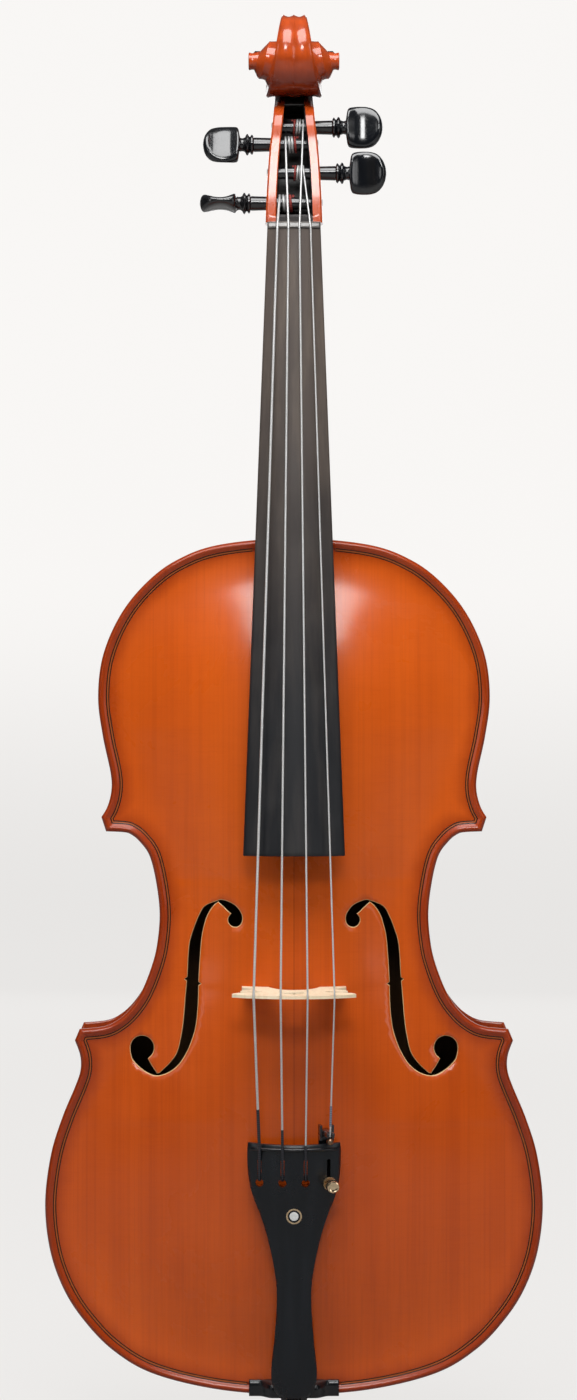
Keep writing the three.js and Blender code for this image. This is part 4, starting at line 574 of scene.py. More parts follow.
# The nut's grey colour is a painted glare on its black ebony.
glare_grey_nut_ebony = polished_ebony(
    "grey ebony with painted glare", linear(92, 88, 84), linear(136, 130, 124), 0.25, 0.4, coat=1.0,
)
tail_ebony = polished_ebony("oiled ebony", linear(9, 15, 21), linear(22, 27, 33), 0.26, 0.4, specular=0.42)
board_ebony = ebony_with_painted_glare()
purfling_strips = purfling_wood()
print("wood finishes:", [m.name for m in bpy.data.materials])


# %% Metal, silk and cord finishes
def plain(name, colour, other, low, high, size=60.0, most=1.0, **look):
    """A finish that drifts from one colour towards the other, by at most that share."""
    made, tree, shader = finish(name, **look)
    cloud = smeared(tree, low, high, size)
    share = sums(tree, "MULTIPLY", cloud.outputs["Cloud"], most)
    cover(tree, shader, blend_colours(tree, share, colour, other), cloud)
    return made


def threaded(name, colour, other, turns, low, high, metallic=0.0):
    """A finish with fine turns of thread or wire along the piece's length."""
    made, tree, shader = finish(name, metal=metallic)
    round_it = sums(tree, "SINE", sums(tree, "MULTIPLY", place_in(tree, "Z"), turns))
    wave = sums(tree, "MULTIPLY_ADD", round_it, 0.5, 0.5)
    cover(tree, shader, blend_colours(tree, wave, colour, other), smeared(tree, low, high, 90.0))
    bumped(tree, shader, wave, 0.00004, 0.5)
    return made


all_metal = {"size": 160.0, "most": 0.5, "metal": 1.0}
gilt = plain("gilt brass", linear(246, 222, 184), linear(196, 160, 112), 0.16, 0.34, **all_metal)
bronze = plain("bronze", linear(150, 122, 100), linear(96, 70, 50), 0.24, 0.42, **all_metal)
string_steel = threaded(
    "string wire", linear(216, 216, 214), linear(196, 196, 196), 9000.0, 0.3, 0.42, metallic=0.35,
)
dark_silk = threaded("dark silk", linear(26, 27, 32), linear(50, 52, 60), 6000.0, 0.5, 0.7)
wine_silk = threaded("wine red silk", linear(120, 30, 28), linear(160, 58, 48), 6000.0, 0.5, 0.7)
blue_silk = threaded("blue grey silk", linear(92, 104, 122), linear(132, 144, 160), 6000.0, 0.5, 0.7)
black_lacquer = plain("black lacquered metal", linear(20, 20, 22), linear(40, 40, 43), 0.16, 0.34, coat=0.5)
pearl = plain("mother of pearl", linear(244, 244, 240), linear(214, 222, 226), 0.12, 0.3, coat=0.6)
nylon = plain("nylon cord", linear(22, 22, 24), linear(44, 44, 46), 0.3, 0.5)
print("finishes in all:", len(bpy.data.materials))

# %% [markdown]
# ## The outline
# A maker cuts half a template and turns it over for the other half. The table is that half
# template, read off the photograph: down the treble side from the top middle to the bottom
# middle. It has three sweeps (upper bout, waist, lower bout) that meet at two blunt corners.

# %% Sizes of the body, in millimetres
body_length, body_bottom, body_top = 406, 17, 423
upper_half_width, waist_half_width, lower_half_width = 92.9, 63.7, 118
upper_corner_half_width, lower_corner_half_width = 89.1, 101.6
rib_half, overhang, rib_thickness = 19, 2.8, 1.2
body_middle = body_bottom + body_length / 2

upper_bout_shares = [
    (0, 1), (0.379, 0.9926), (0.603, 0.9741), (0.763, 0.9461), (0.89, 0.9089), (0.976, 0.8623),
    (1, 0.814), (0.976, 0.7692), (0.9365, 0.7266), (0.932, 0.7057), (0.9515, 0.6872), (0.983, 0.6744),
]
waist_shares = [
    (1, 0.6576), (0.681, 0.6567), (0.543, 0.6544), (0.374, 0.6458), (0.185, 0.6286), (0.059, 0.596),
    (0, 0.5603), (0.034, 0.5246), (0.103, 0.4993), (0.222, 0.4714), (0.351, 0.4527), (0.509, 0.4384),
    (0.694, 0.43), (1, 0.4271),
]
upper_waist_rows = 7
lower_bout_shares = [
    (0.8805, 0.4136), (0.8593, 0.3961), (0.8576, 0.3793), (0.8771, 0.3613), (0.9314, 0.3232),
    (0.9771, 0.2796), (1, 0.2241), (0.9822, 0.1712), (0.9314, 0.1268), (0.8525, 0.0897),
    (0.7305, 0.0525), (0.5644, 0.0244), (0.2966, 0.0057), (0, 0),
]


def bout(shares, half_width, count, from_middle):
    """A bout's sweep: its mirror image goes before it, so that it crosses the middle level."""
    rows = np.array(shares) * (half_width, body_length) + (0, body_bottom)
    rows = rows if from_middle else rows[::-1]
    whole = np.vstack([rows[:0:-1] * (-1, 1), rows])
    swept = smooth(whole, 2 * count + 1)[count:]
    swept[0, 0] = 0
    return swept if from_middle else swept[::-1]


waist_rows = np.array(waist_shares)
at_upper_corner = np.arange(len(waist_rows)) < upper_waist_rows
corner_out = np.where(at_upper_corner, upper_corner_half_width, lower_corner_half_width)
waist_rows[:, 0] = mix(waist_half_width, corner_out, waist_rows[:, 0])
waist_rows[:, 1] = body_bottom + waist_rows[:, 1] * body_length

fine_count, corner_steps = 1500, 6
sweeps = [
    bout(upper_bout_shares, upper_half_width, fine_count, True),
    smooth(waist_rows, fine_count + 1),
    bout(lower_bout_shares, lower_half_width, fine_count, False),
]
sweep_counts = (190, 120, 240)
upper_tip = sweep_counts[0]
waist_start = upper_tip + corner_steps
waist_end = waist_start + sweep_counts[1]
lower_tip = waist_end + corner_steps
print("sweeps:", [round(float(np.linalg.norm(np.diff(s, axis=0), axis=1).sum())) for s in sweeps], "mm")

# %% [markdown]
# ### Lines that follow the edge
# The purfling and the edge's bead keep one distance from the edge all round, and they meet
# in a mitre at the corners. Each sweep is moved inwards, and is cut where it comes nearer
# to its neighbours than that distance. The two cut ends then share one point.


# %% Lines at one distance inside the edge
def nearest(places, line):
    """Each place's least distance to a line of short straight steps."""
    start, step = line[:-1], np.diff(line, axis=0)
    length = np.maximum((step**2).sum(1), 1e-12)
    least = np.full(len(places), np.inf)
    for first in range(0, len(places), 4000):
        off = places[first : first + 4000, None] - start[None]
        share = np.clip((off * step).sum(2) / length, 0, 1)
        gap = np.linalg.norm(off - share[..., None] * step, axis=2).min(1)
        least[first : first + 4000] = gap
    return least


def cut_end(moved, others, depth, searched=260):
    """The end of a moved sweep without what lies nearer than depth to its neighbours."""
    tail = moved[-searched:]
    gap = np.min([nearest(tail, other) for other in others], axis=0) - depth
    bad = np.flatnonzero(gap < 0)
    if len(bad) == 0 or bad[0] == 0:
        return moved
    i = bad[0]
    share = gap[i - 1] / (gap[i - 1] - gap[i])
    return np.vstack([moved[: len(moved) - searched + i], mix(tail[i - 1], tail[i], share)])


neighbour_steps, mitre_gap = 320, 0.4


def inset_parts(depth):
    """The three sweeps moved inwards by depth, each cut to its mitre and spaced anew."""
    moved = []
    for sweep in sweeps:
        ahead = np.gradient(sweep, axis=0)
        ahead /= np.linalg.norm(ahead, axis=1, keepdims=True)
        moved.append(sweep + depth * np.stack([ahead[:, 1], -ahead[:, 0]], axis=-1))
    moved[0][0, 0] = moved[2][-1, 0] = 0
    if depth > 0:
        for k in (0, 1):
            blunt = np.stack([sweeps[k][-1], sweeps[k + 1][0]])
            near, far = sweeps[k][-neighbour_steps:], sweeps[k + 1][:neighbour_steps]
            first = cut_end(moved[k], [blunt, far], depth)
            second = cut_end(moved[k + 1][::-1], [blunt, near], depth)[::-1]
            if np.linalg.norm(first[-1] - second[0]) < mitre_gap:
                first[-1] = second[0] = (first[-1] + second[0]) / 2
            moved[k], moved[k + 1] = first, second
    return [spaced(line, count + 1) for line, count in zip(moved, sweep_counts)]


def inset(depth):
    """The treble half of the line at one depth inside the edge, with its corners' blunt ends."""
    upper, waist, lower = inset_parts(depth)
    share = (np.arange(1, corner_steps) / corner_steps)[:, None]
    return np.vstack([
        upper, mix(upper[-1], waist[0], share), waist, mix(waist[-1], lower[0], share), lower,
    ])


def both_sides(half):
    """A half line and its mirror image as one loop."""
    return np.vstack([half, half[-2:0:-1] * (-1, 1)])


edge = inset(0)
edge_loop = both_sides(edge)
edge_shut = np.vstack([edge_loop, edge_loop[:1]])
print("edge loop:", len(edge_loop), "places; half width", edge[:, 0].max().round(1), "mm")

# %% [markdown]
# ## The arch
# Across the instrument the arch is a wave: high in the middle, and flat where it meets the
# channel beside the edge. Along the instrument its height stays almost level and then falls
# away near both ends. The edge itself stands up again as a rounded bead.

# %% Heights of a plate
bead_rise, channel_rise, channel_inset, purfling_inset, field_inset = 1.2, 3.4, 7.5, 3.8, 5.4
bead_inset, bead_width, skipped = 1.6, 2, 34
channel = inset(channel_inset)
channel_rows = np.vstack([
    channel[: upper_tip - skipped : 6],
    channel[waist_start + skipped : waist_end - skipped + 1 : 4],
    channel[lower_tip + skipped :: 6],
])
channel_line = spaced(smooth(channel_rows, 1200), 1201)
channel_low, channel_high = channel_line[-1, 1], channel_line[0, 1]


def rim_rise(inside):
    """3.4 + 1.2 exp(-((d - 1.6) / 2)^2): the bead of the edge, at a distance d inside it."""
    return channel_rise + bead_rise * np.exp(-(((inside - bead_inset) / bead_width) ** 2))


def arch_rise(x, z, arch):
    """rim + A (1 + cos(pi |x/w|^1.35))/2 (1 + cos(pi t^3.4))/2, with w the channel's half
    width at z and t the share of the way from the middle to the channel's end."""
    order = np.argsort(channel_line[:, 1])
    width = np.interp(z, channel_line[order, 1], channel_line[order, 0])
    aside = np.clip(np.abs(x) / np.maximum(width, 1e-6), 0, 1)
    half = (channel_high - channel_low) / 2
    away = np.clip(np.abs(z - (channel_high + channel_low) / 2) / half, 0, 1)
    return (arch - channel_rise) * (1 + np.cos(PI * aside**1.35)) / 2 * (1 + np.cos(PI * away**3.4)) / 2


def plate_rise(x, z, arch):
    """The plate's height over the ribs at any place within the edge."""
    inside = nearest(np.stack([x, z], axis=-1), edge_shut)
    return rim_rise(inside) + arch_rise(x, z, arch)


belly_arch, back_arch = 17.5, 17
bridge_along = body_bottom + 0.4704 * body_length
at_bridge = plate_rise(np.array([0.0]), np.array([bridge_along]), belly_arch)
print("belly at the bridge:", at_bridge.round(1), "mm over the ribs")

# %% [markdown]
# ## Flat shapes with holes
# A belly with sound holes, a bridge and a tailpiece are all sheets that are pierced. The
# sheet is first drawn flat: its edge and its holes are the fixed lines, a grid of places
# fills the rest, and a Delaunay mesh joins them. Heights are then given to every place at
# once, above and below, and walls join the two along each fixed line.


# %% Filling a flat shape
def inside_loop(places, loop):
    """True where a place lies within the loop, by counting the crossings to its right."""
    x, z = places[:, 0][:, None], places[:, 1][:, None]
    a, b = loop[None], np.roll(loop, -1, axis=0)[None]
    spans = (a[..., 1] > z) != (b[..., 1] > z)
    run = np.where(b[..., 1] == a[..., 1], 1e-12, b[..., 1] - a[..., 1])
    cross = a[..., 0] + (z - a[..., 1]) / run * (b[..., 0] - a[..., 0])
    return (spans & (x < cross)).sum(1) % 2 == 1


def apart(loop, least=0.02):
    """The loop without places that fall on the one before."""
    keep = np.linalg.norm(loop - np.roll(loop, 1, axis=0), axis=1) > least
    return loop[keep]


def fill(outer, holes, spacing, extra=()):
    """(places, triangles) of a flat shape; the loops' places come first, in their order."""
    loops = [outer, *holes]
    fixed = np.vstack(loops)
    low, high = outer.min(0), outer.max(0)
    rows = np.arange(low[1], high[1], spacing * 0.866)
    cols = np.arange(low[0], high[0] + spacing, spacing)
    x, z = np.meshgrid(cols, rows)
    x = x + (np.arange(len(rows)) % 2)[:, None] * spacing / 2
    grid = np.stack([x.ravel(), z.ravel()], axis=-1)
    grid = grid[inside_loop(grid, outer)]
    for hole in holes:
        grid = grid[~inside_loop(grid, hole)]
    for loop in loops:
        shut = np.vstack([loop, loop[:1]])
        grid = grid[nearest(grid, shut) > spacing * 0.55] if len(grid) else grid
    places = np.vstack([fixed, *extra, grid])
    edges, first = [], 0
    for loop in loops:
        at_loop = first + np.arange(len(loop))
        edges += list(zip(at_loop.tolist(), np.roll(at_loop, -1).tolist()))
        first += len(loop)
    made = delaunay_2d_cdt([Vector(p) for p in places.tolist()], edges, [], 0, 1e-6)
    used = np.array([origin[0] if origin else -1 for origin in made[3]])
    spots = np.array([v[:] for v in made[0]])
    spots[used >= 0] = places[used[used >= 0]]
    cells = np.array(made[2])
    middle = spots[cells].mean(1)
    keep = inside_loop(middle, outer)
    for hole in holes:
        keep &= ~inside_loop(middle, hole)
    order = {int(o): i for i, o in enumerate(used) if o >= 0}
    at_fixed = np.array([order.get(i, -1) for i in range(len(fixed))])
    return spots, cells[keep], at_fixed


def inward(loop):
    """The unit steps from each place of a loop towards the loop's own inside."""
    ahead = np.roll(loop, -1, axis=0) - np.roll(loop, 1, axis=0)
    ahead /= np.maximum(np.linalg.norm(ahead, axis=1, keepdims=True), 1e-9)
    x, z = loop.T
    area = (x * np.roll(z, -1) - np.roll(x, -1) * z).sum()
    return np.sign(area) * np.stack([-ahead[:, 1], ahead[:, 0]], axis=-1)


def sheet(outer, holes, spacing, place, wall_outer=True, extra=(), wall_steps=1, bevel=0.0):
    """A pierced sheet as (places, faces, kinds): place(x, z, v) is the surface, v going
    from 0 at the top to 1 underneath. Kind 0 is the top, 1 a hole's wall and 2 the
    underside. The holes narrow by bevel just under the top."""
    spots, cells, at_fixed = fill(outer, holes, spacing, extra)
    x, z = spots.T
    count = len(spots)
    places = [place(x, z, v) for v in (0.0, 1.0)]
    faces = cells.tolist() + (cells[:, ::-1] + count).tolist()
    kinds = [0] * len(cells) + [2] * len(cells)
    first, extra_first = 0, 2 * count
    for k, loop in enumerate([outer, *holes]):
        ring = at_fixed[first : first + len(loop)]
        first += len(loop)
        if k == 0 and not wall_outer:
            continue
        lx, lz = (spots[ring] + (bevel * inward(spots[ring]) if k else 0)).T
        levels = np.linspace(0, 1, wall_steps + 1)[1:-1]
        if k and bevel:
            levels = np.concatenate([[bevel / 3], levels])
        rings = [ring]
        for v in levels:
            rings.append(extra_first + np.arange(len(loop)))
            places.append(place(lx, lz, v))
            extra_first += len(loop)
        rings.append(ring + count)
        for upper, lower in zip(rings[:-1], rings[1:]):
            wall = np.stack([upper, np.roll(upper, -1), np.roll(lower, -1), lower], axis=-1)
            faces += wall.tolist()
            kinds += [1 if k else 0] * len(loop)
    return np.vstack(places), faces, kinds


print("fill and sheet are ready")

# %% [markdown]
# ## The sound holes
# Each hole is a long swung stem between a small upper and a larger lower round eye. The
# stem's two sides, the passages that join it to the eyes and the two rounds are drawn from
# the table, and their outer contour is one closed loop. A small notch on each side of the
# stem marks where the bridge stands.

# %% Drawing a sound hole
hole_length, hole_spread, hole_top = 84, 72, 252.2
hole_eyes = {"upper": ((0.386, 0.115), 3.6), "lower": ((0.999, 0.84), 5.9)}

# Going round once: down the stem's outer side to its notch and on, up the lower wing, round
# the lower eye (turns in degrees), along the lower passage, up the stem's inner side, down
# the upper wing, round the upper eye and along the upper passage.
hole_sweeps = [
    [(0.486, 0), (0.587, 0.037), (0.631, 0.098), (0.662, 0.165), (0.688, 0.238), (0.698, 0.317),
     (0.703, 0.407), (0.705, 0.44)],
    [(0.724, 0.452)],
    [(0.708, 0.464), (0.719, 0.569), (0.727, 0.659), (0.74, 0.749), (0.766, 0.85), (0.806, 0.908),
     (0.867, 0.962), (0.896, 0.981)],
    [(0.93, 0.94), (0.957, 0.9)],
    ("lower", 239, -8),
    [(1.081, 0.857), (1.065, 0.908), (1.016, 0.953), (0.955, 0.987), (0.897, 0.998), (0.823, 0.979),
     (0.753, 0.931), (0.701, 0.861), (0.666, 0.788), (0.644, 0.721), (0.631, 0.631), (0.626, 0.552),
     (0.6255, 0.489)],
    [(0.607, 0.477)],
    [(0.6245, 0.465), (0.62, 0.39), (0.613, 0.3), (0.604, 0.216), (0.591, 0.16), (0.569, 0.098),
     (0.535, 0.048), (0.499, 0.017)],
    [(0.46, 0.047), (0.424, 0.077)],
    ("upper", 55, -172),
    [(0.334, 0.108), (0.342, 0.076), (0.378, 0.034), (0.43, 0.009), (0.475, -0.001)],
]


def on_belly(shares):
    """Places from shares of the hole's spread and length."""
    return np.array(shares, float) * (hole_spread, -hole_length) + (0, hole_top)


def hole_sweep(table):
    """One sweep's places: round an eye, straight, or on the curve through the rows."""
    if isinstance(table, tuple):
        shares, radius = hole_eyes[table[0]]
        turn = np.radians(np.linspace(table[1], table[2], 40))
        return on_belly(shares) + radius * np.stack([np.cos(turn), np.sin(turn)], axis=-1)
    rows = on_belly(table)
    reach = np.linalg.norm(np.diff(rows, axis=0), axis=1).sum()
    return smooth(rows, max(int(reach / 0.9), 3)) if len(rows) > 2 else rows


treble_hole = apart(np.vstack([hole_sweep(table) for table in hole_sweeps]), 0.1)
bass_hole = treble_hole[::-1] * (-1, 1)
print("sound hole:", len(treble_hole), "places")

# %% [markdown]
# ## Belly and back
# Both plates have the same edge: an overhanging bead with a rounded lip, then a groove in
# which the purfling lies, then the channel. That rim is a regular grid all round the body.
# The field inside it is a filled sheet whose height is the arch. The belly's holes are cut
# through it, and their walls are left as bare wood, which the photograph shows as a light
# line along the inner and lower sides.

# %% Belly and back
plate_thickness, groove_depth, heel_half_width = rim_rise(field_inset), 0.9, 12
rim_profile = [
    (field_inset, 0), (0.9, 0), (0.45, 0.16), (0.18, 0.55), (0.03, 1.2), (0, 1.9), (0.06, 2.6), (0.3, 3.3),
    (0.7, 3.95), (1.1, 4.35),
]
rim_profile += [(d, float(rim_rise(d))) for d in (1.5, 1.9, 2.4, 2.9, 3.4, purfling_inset)]
rim_profile += [(d, float(rim_rise(d)) - groove_depth) for d in (purfling_inset, field_inset)]
rim_profile.append((field_inset, float(rim_rise(field_inset))))
line_at = {d: both_sides(inset(d)) for d in sorted({d for d, _ in rim_profile})}


def rim(side):
    """The plate's edge as a closed ring of quads, on the belly's side (1) or the back's (-1)."""
    rows = [at(line_at[d][:, 0], side * (rib_half + rise), line_at[d][:, 1]) for d, rise in rim_profile]
    rows = np.stack(rows, axis=1)
    return rows.reshape(-1, 3), quads(len(rows), rows.shape[1], around=False, joined=True)


follow = [apart(both_sides(inset(d))[::2], 0.9) for d in (6.6, 8.2, 10.2, 12.6)]


def plate_sheet(side, arch, holes):
    """The arched field inside the rim, its underside one plate's thickness below its top."""
    def place(x, z, v):
        rise = np.maximum(plate_rise(x, z, arch) - v * plate_thickness, 0)
        return at(x, side * (rib_half + rise), z)

    loop = apart(line_at[field_inset], 0.01)
    return sheet(loop, holes, 2.4, place, wall_outer=False, extra=follow, wall_steps=3, bevel=0.32)


def inside_edge(*parts):
    """How far each place lies from the outline, in millimetres."""
    flat = np.vstack(parts)[:, [0, 2]] / MM
    return nearest(flat, edge_shut[::2])


def back_button():
    """The half round tongue of the back that the heel is glued to, with eased edges."""
    turn = np.linspace(0, PI, 49)
    rows = []
    for grow, rise in ((-0.7, 0), (0, 0.7), (0, 3.8), (-0.7, 4.5)):
        radius = heel_half_width + grow
        across = np.concatenate([radius * np.cos(turn), [-radius, radius]])
        along = np.concatenate([body_top - 2 + radius * np.sin(turn), [body_top - 8, body_top - 8]])
        rows.append(at(across, -(rib_half + rise), along))
    return skin(np.stack(rows))


def make_plate(name, side, arch, holes, varnish, more=()):
    """The field, the rim and what more belongs to a plate, in one piece."""
    places, faces, kinds = plate_sheet(side, arch, holes)
    shells = [rim(side), *more]
    for _, cells in shells:
        kinds += [0] * len(cells)
    inside = inside_edge(places, *(shell[0] for shell in shells))
    piece(
        name, [(places, faces), *shells], [varnish, bare_spruce, inside_wood],
        {1: "top_plate", -1: "back_plate"}[side], crisp=50, kinds=kinds,
        values={"inside": inside},
    )


make_plate("belly", 1, belly_arch, [treble_hole, bass_hole], belly_varnish)
make_plate("back", -1, back_arch, [], back_varnish, [back_button()])

# %% [markdown]
# ## Purfling
# The purfling is a strip of three thin woods let into a groove beside the edge. It stiffens
# the edge, so it is cut to a pointed mitre at every corner. On the belly it stops at the
# saddle and under the neck. Its own attribute tells the finish how far across it a place is.


# %% Purfling strips
strip_outside, strip_middle, strip_inside, proud = 3.82, 4.6, 5.38, 0.01
neck_root_half, saddle_half = 19, 21.8


def make_purfling(name, node_name, half, side, flips):
    """Strips along part of the treble half line and its mirror image: rings of five places,
    each with its share of the way across."""
    section = [(strip_outside, groove_depth), (strip_outside, 0), (strip_middle, 0), (strip_inside, 0),
               (strip_inside, groove_depth)]
    shells, shares = [], []
    for flip in flips:
        rings = []
        for inside, sunk in section:
            x, z = (inset(inside)[half] * (flip, 1)).T
            rings.append(at(x, side * (rib_half + float(rim_rise(inside)) - sunk + proud), z))
        shells.append(skin(np.stack(rings, axis=1)))
        shares += [0, 0, 0.5, 1, 1] * len(rings[0])
    piece(name, shells, purfling_strips, node_name, values={"across": shares})


middle_line = inset(strip_middle)
free_of_saddle = np.flatnonzero((middle_line[:, 0] > saddle_half) | (middle_line[:, 1] > body_middle))
free_of_neck = np.flatnonzero(middle_line[:, 0] > neck_root_half)
shown_run = slice(int(free_of_neck[0]), int(free_of_saddle[-1]) + 1)
for side_name, flip in two_sides:
    make_purfling(f"{side_name}_belly_purfling", f"purfling_top_{side_name}", shown_run, 1, [flip])
make_purfling("whole_back_purfling", "purfling_back", slice(0, None), -1, [-1, 1])

# %% [markdown]
# ## Ribs
# Six strips of maple, bent over a hot iron, make the sides. They stand a little inside the
# plates' edge all round, so each strip is the band between two inset lines.


# %% Ribs
glued_in = 0.05


def make_ribs():
    """Each strip's section is a tall thin rectangle, let a little into both plates."""
    outer, inner = inset(overhang), inset(overhang + rib_thickness)
    runs = {"upper": slice(0, waist_start + 1), "waist": slice(waist_start, waist_end + 1),
            "lower": slice(waist_end, None)}
    for bout_name, run in runs.items():
        for side_name, flip in two_sides:
            rows = []
            for line, height in ((outer, -1), (outer, 1), (inner, 1), (inner, -1)):
                rows.append(at(flip * line[run, 0], height * (rib_half + glued_in), line[run, 1]))
            piece(
                f"{side_name}_{bout_name}_rib", skin(np.stack(rows, axis=1)), rib_varnish,
                f"rib_{bout_name}_{side_name}",
            )


make_ribs()

# %% [markdown]
# ### Corner blocks
# Inside each corner a block of spruce holds the two rib ends. It is cut to the ribs' inner
# line, so its two outer faces are hollow curves, and a flat face looks into the body.


# %% Corner blocks
def make_corner_blocks():
    """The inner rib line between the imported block's own two ends, closed by a chord."""
    face, inner = inset(overhang + rib_thickness + 0.04), inset(overhang + rib_thickness + 2)
    for corner in ("upper", "lower"):
        for side_name, flip in two_sides:
            packed = frame["nodes"][f"block_{corner}_{side_name}"].data.vertices
            reach = np.array([vertex.co.z for vertex in packed]) / MM
            run = np.flatnonzero((face[:, 1] > reach.min() + 0.2) & (face[:, 1] < reach.max() - 0.2))
            loop = np.vstack([face[run], inner[run[-1:]], inner[run[:1]]])
            ends = (-rib_half + 0.1, rib_half - 0.1)
            rings = [at(flip * loop[:, 0], height, loop[:, 1]) for height in ends]
            piece(
                f"{side_name}_{corner}_corner_block", skin(np.stack(rings)), bare_spruce,
                f"block_{corner}_{side_name}",
            )


make_corner_blocks()

# %% [markdown]
# ## Neck, pegbox and scroll
# All three are carved from one block of maple. The neck is a half round under the
# fingerboard, and near the body it turns into the square heel. The pegbox is a tapering
# trough whose back carries two flutes with a ridge between them. The scroll is laid out
# turn by turn: in the side view its radius shrinks, and seen from the front it widens
# outwards to the eye.

# %% Sizes of the neck and the head
neck_slope = np.tan(np.radians(6.1))
nut_front, nut_length, head_length = 570, 3.4, 79.6
nut_back = nut_front + nut_length
eye_along = nut_back + head_length
board_length, board_side, board_radius = 296.5, 5, 41
board_half_at_nut, board_half_at_end = 12.65, 23.8
board_stands, heel_reach = 12.5, 31
heel_shares = [
    (0, 0, 0.2), (0.29, 0, 0.25), (0.4, 0.12, 0.35), (0.52, 0.42, 0.5), (0.66, 0.74, 0.7),
    (0.82, 0.92, 0.85), (1, 1, 0.95),
]
pegbox_depth, pegbox_half_width, pegbox_floor = 24, 13.5, 5
pegbox_shares = [
    (0, 0.845, 0.229, 1), (0.2, 0.775, -0.042, 0.956), (0.42, 0.667, -0.333, 0.874),
    (0.62, 0.525, -0.604, 0.748), (0.7, 0.312, -0.708, 0.711), (0.76, -0.083, -0.804, 0.681),
    (0.84, -0.458, -0.917, 0.659), (1, -0.6, -1.02, 0.63),
]
volute_radius, volute_half_width = 22.5, 21.5
volute_shares = [
    (1.089, 0.395), (1, 0.27), (0.889, 0.43), (0.785, 0.632), (0.622, 0.586), (0.431, 0.586),
    (0.391, 0.674), (0.378, 0.814), (0.289, 0.88), (0.222, 0.907),
]


def glue_height(along):
    """Where the neck meets the fingerboard: 12.5 mm over the ribs' edge, falling to the nut."""
    return rib_half + board_stands - (along - body_top) * neck_slope


def board_half(along):
    """The fingerboard's half width."""
    return mix(board_half_at_nut, board_half_at_end, (nut_front - along) / board_length)


def crown_fall(radius, across):
    """How far a round top has fallen at a distance from its middle: r - sqrt(r^2 - x^2)."""
    return radius - np.sqrt(radius**2 - across**2)


def board_top(along, across):
    """The fingerboard's round top."""
    crown = crown_fall(board_radius, board_half(along))
    return glue_height(along) + board_side + crown - crown_fall(board_radius, across)


eye_height = glue_height(eye_along) - 11.92
print("the scroll's eye:", round(eye_along, 1), "mm along,", round(eye_height, 2), "mm high")


# %% The neck's shaft and heel
def neck_rings():
    """Rings with x = w cos(a)|cos(a)|^(s-1) and height = top - d |sin(a)|^s, a from 0 to pi."""
    reach = np.concatenate([np.linspace(0, 1, 40), np.linspace(1, 4.95, 40)[1:]])
    lift, square = read(heel_shares, np.clip(reach, 0, 1))
    lift, square = np.clip(lift, 0, 1), np.where(reach > 1, 1.0, np.clip(square, 0.2, 1))
    along = body_top + reach * heel_reach
    along[-1] = nut_back + 0.05
    share = np.clip((along - body_top - heel_reach) / (nut_back - body_top - heel_reach), 0, 1)
    shaft_low = glue_height(along) - mix(13.6, 12.2, share)
    low = mix(-rib_half, shaft_low, lift)
    along = np.concatenate([[body_top - 6], along])
    low, lift, square = (np.concatenate([row[:1], row]) for row in (low, lift, square))
    top, half = glue_height(along), board_half(along)
    foot = np.where(lift < 1, mix(heel_half_width, half, lift), half)
    turn = np.linspace(0, PI, 45)[None]
    out = np.sign(np.cos(turn)) * np.abs(np.cos(turn)) ** square[:, None]
    down = np.abs(np.sin(turn)) ** square[:, None]
    width = mix(half[:, None], foot[:, None], down)
    return at(out * width, top[:, None] - down * (top - low)[:, None], along[:, None])


def pegbox_rings():
    """Rings of the trough: down the outside, across the fluted back, up, and down into the
    hollow, whose floor rises to the rim at both ends."""
    way = np.concatenate([
        np.linspace(0, 0.048, 6), np.linspace(0.05, 0.085, 8), np.linspace(0.1, 0.68, 60),
        np.linspace(0.69, 0.76, 12), np.linspace(0.775, 1, 20),
    ])
    front, low, width = read(pegbox_shares, way)
    half = width * pegbox_half_width
    front, low = eye_height + front * pegbox_depth, eye_height + low * pegbox_depth
    inner = half - mix(4.9, 4.7, way)
    rise = band_share(way, 0.046, 0.062) * (1 - band_share(way, 0.7, 0.742))
    floor = mix(front - 0.01, low + pegbox_floor, rise)
    along = mix(nut_back, eye_along, way)
    edge, corner, bulge, flute = 0.8, 2.2, 0.35, 1.3
    columns = [(half - edge, front), (half, front - edge)]
    for k in np.linspace(0, 1, 7)[1:-1]:
        columns.append((half + bulge * np.sin(PI * k), mix(front - edge, low + corner, k)))
    columns += [(half, low + corner), (half - 0.9, low + 0.7), (half - corner, low)]
    for k in np.linspace(1, -1, 33)[1:-1]:
        columns.append((k * (half - corner), low + flute * np.sin(PI * abs(k)) ** 0.9))
    columns += [(-x, h) for x, h in columns[:10][::-1]]
    hollow = [(inner - 1.2, floor), (inner, floor + 0.6), (inner, mix(front - 0.5, floor, 0.5)),
              (inner, front - 0.5), (inner + 0.5, front)]
    hollow = [(-x, h) for x, h in hollow[::-1]] + hollow
    solid = rise < 0.001
    columns += [(x, np.where(solid, front, np.minimum(h, front))) for x, h in hollow]
    return rings_along(columns, along)


def band_share(value, low, high):
    """0 below low, 1 above high, and 3 s^2 - 2 s^3 between them."""
    share = np.clip((value - low) / (high - low), 0, 1)
    return share**2 * (3 - 2 * share)


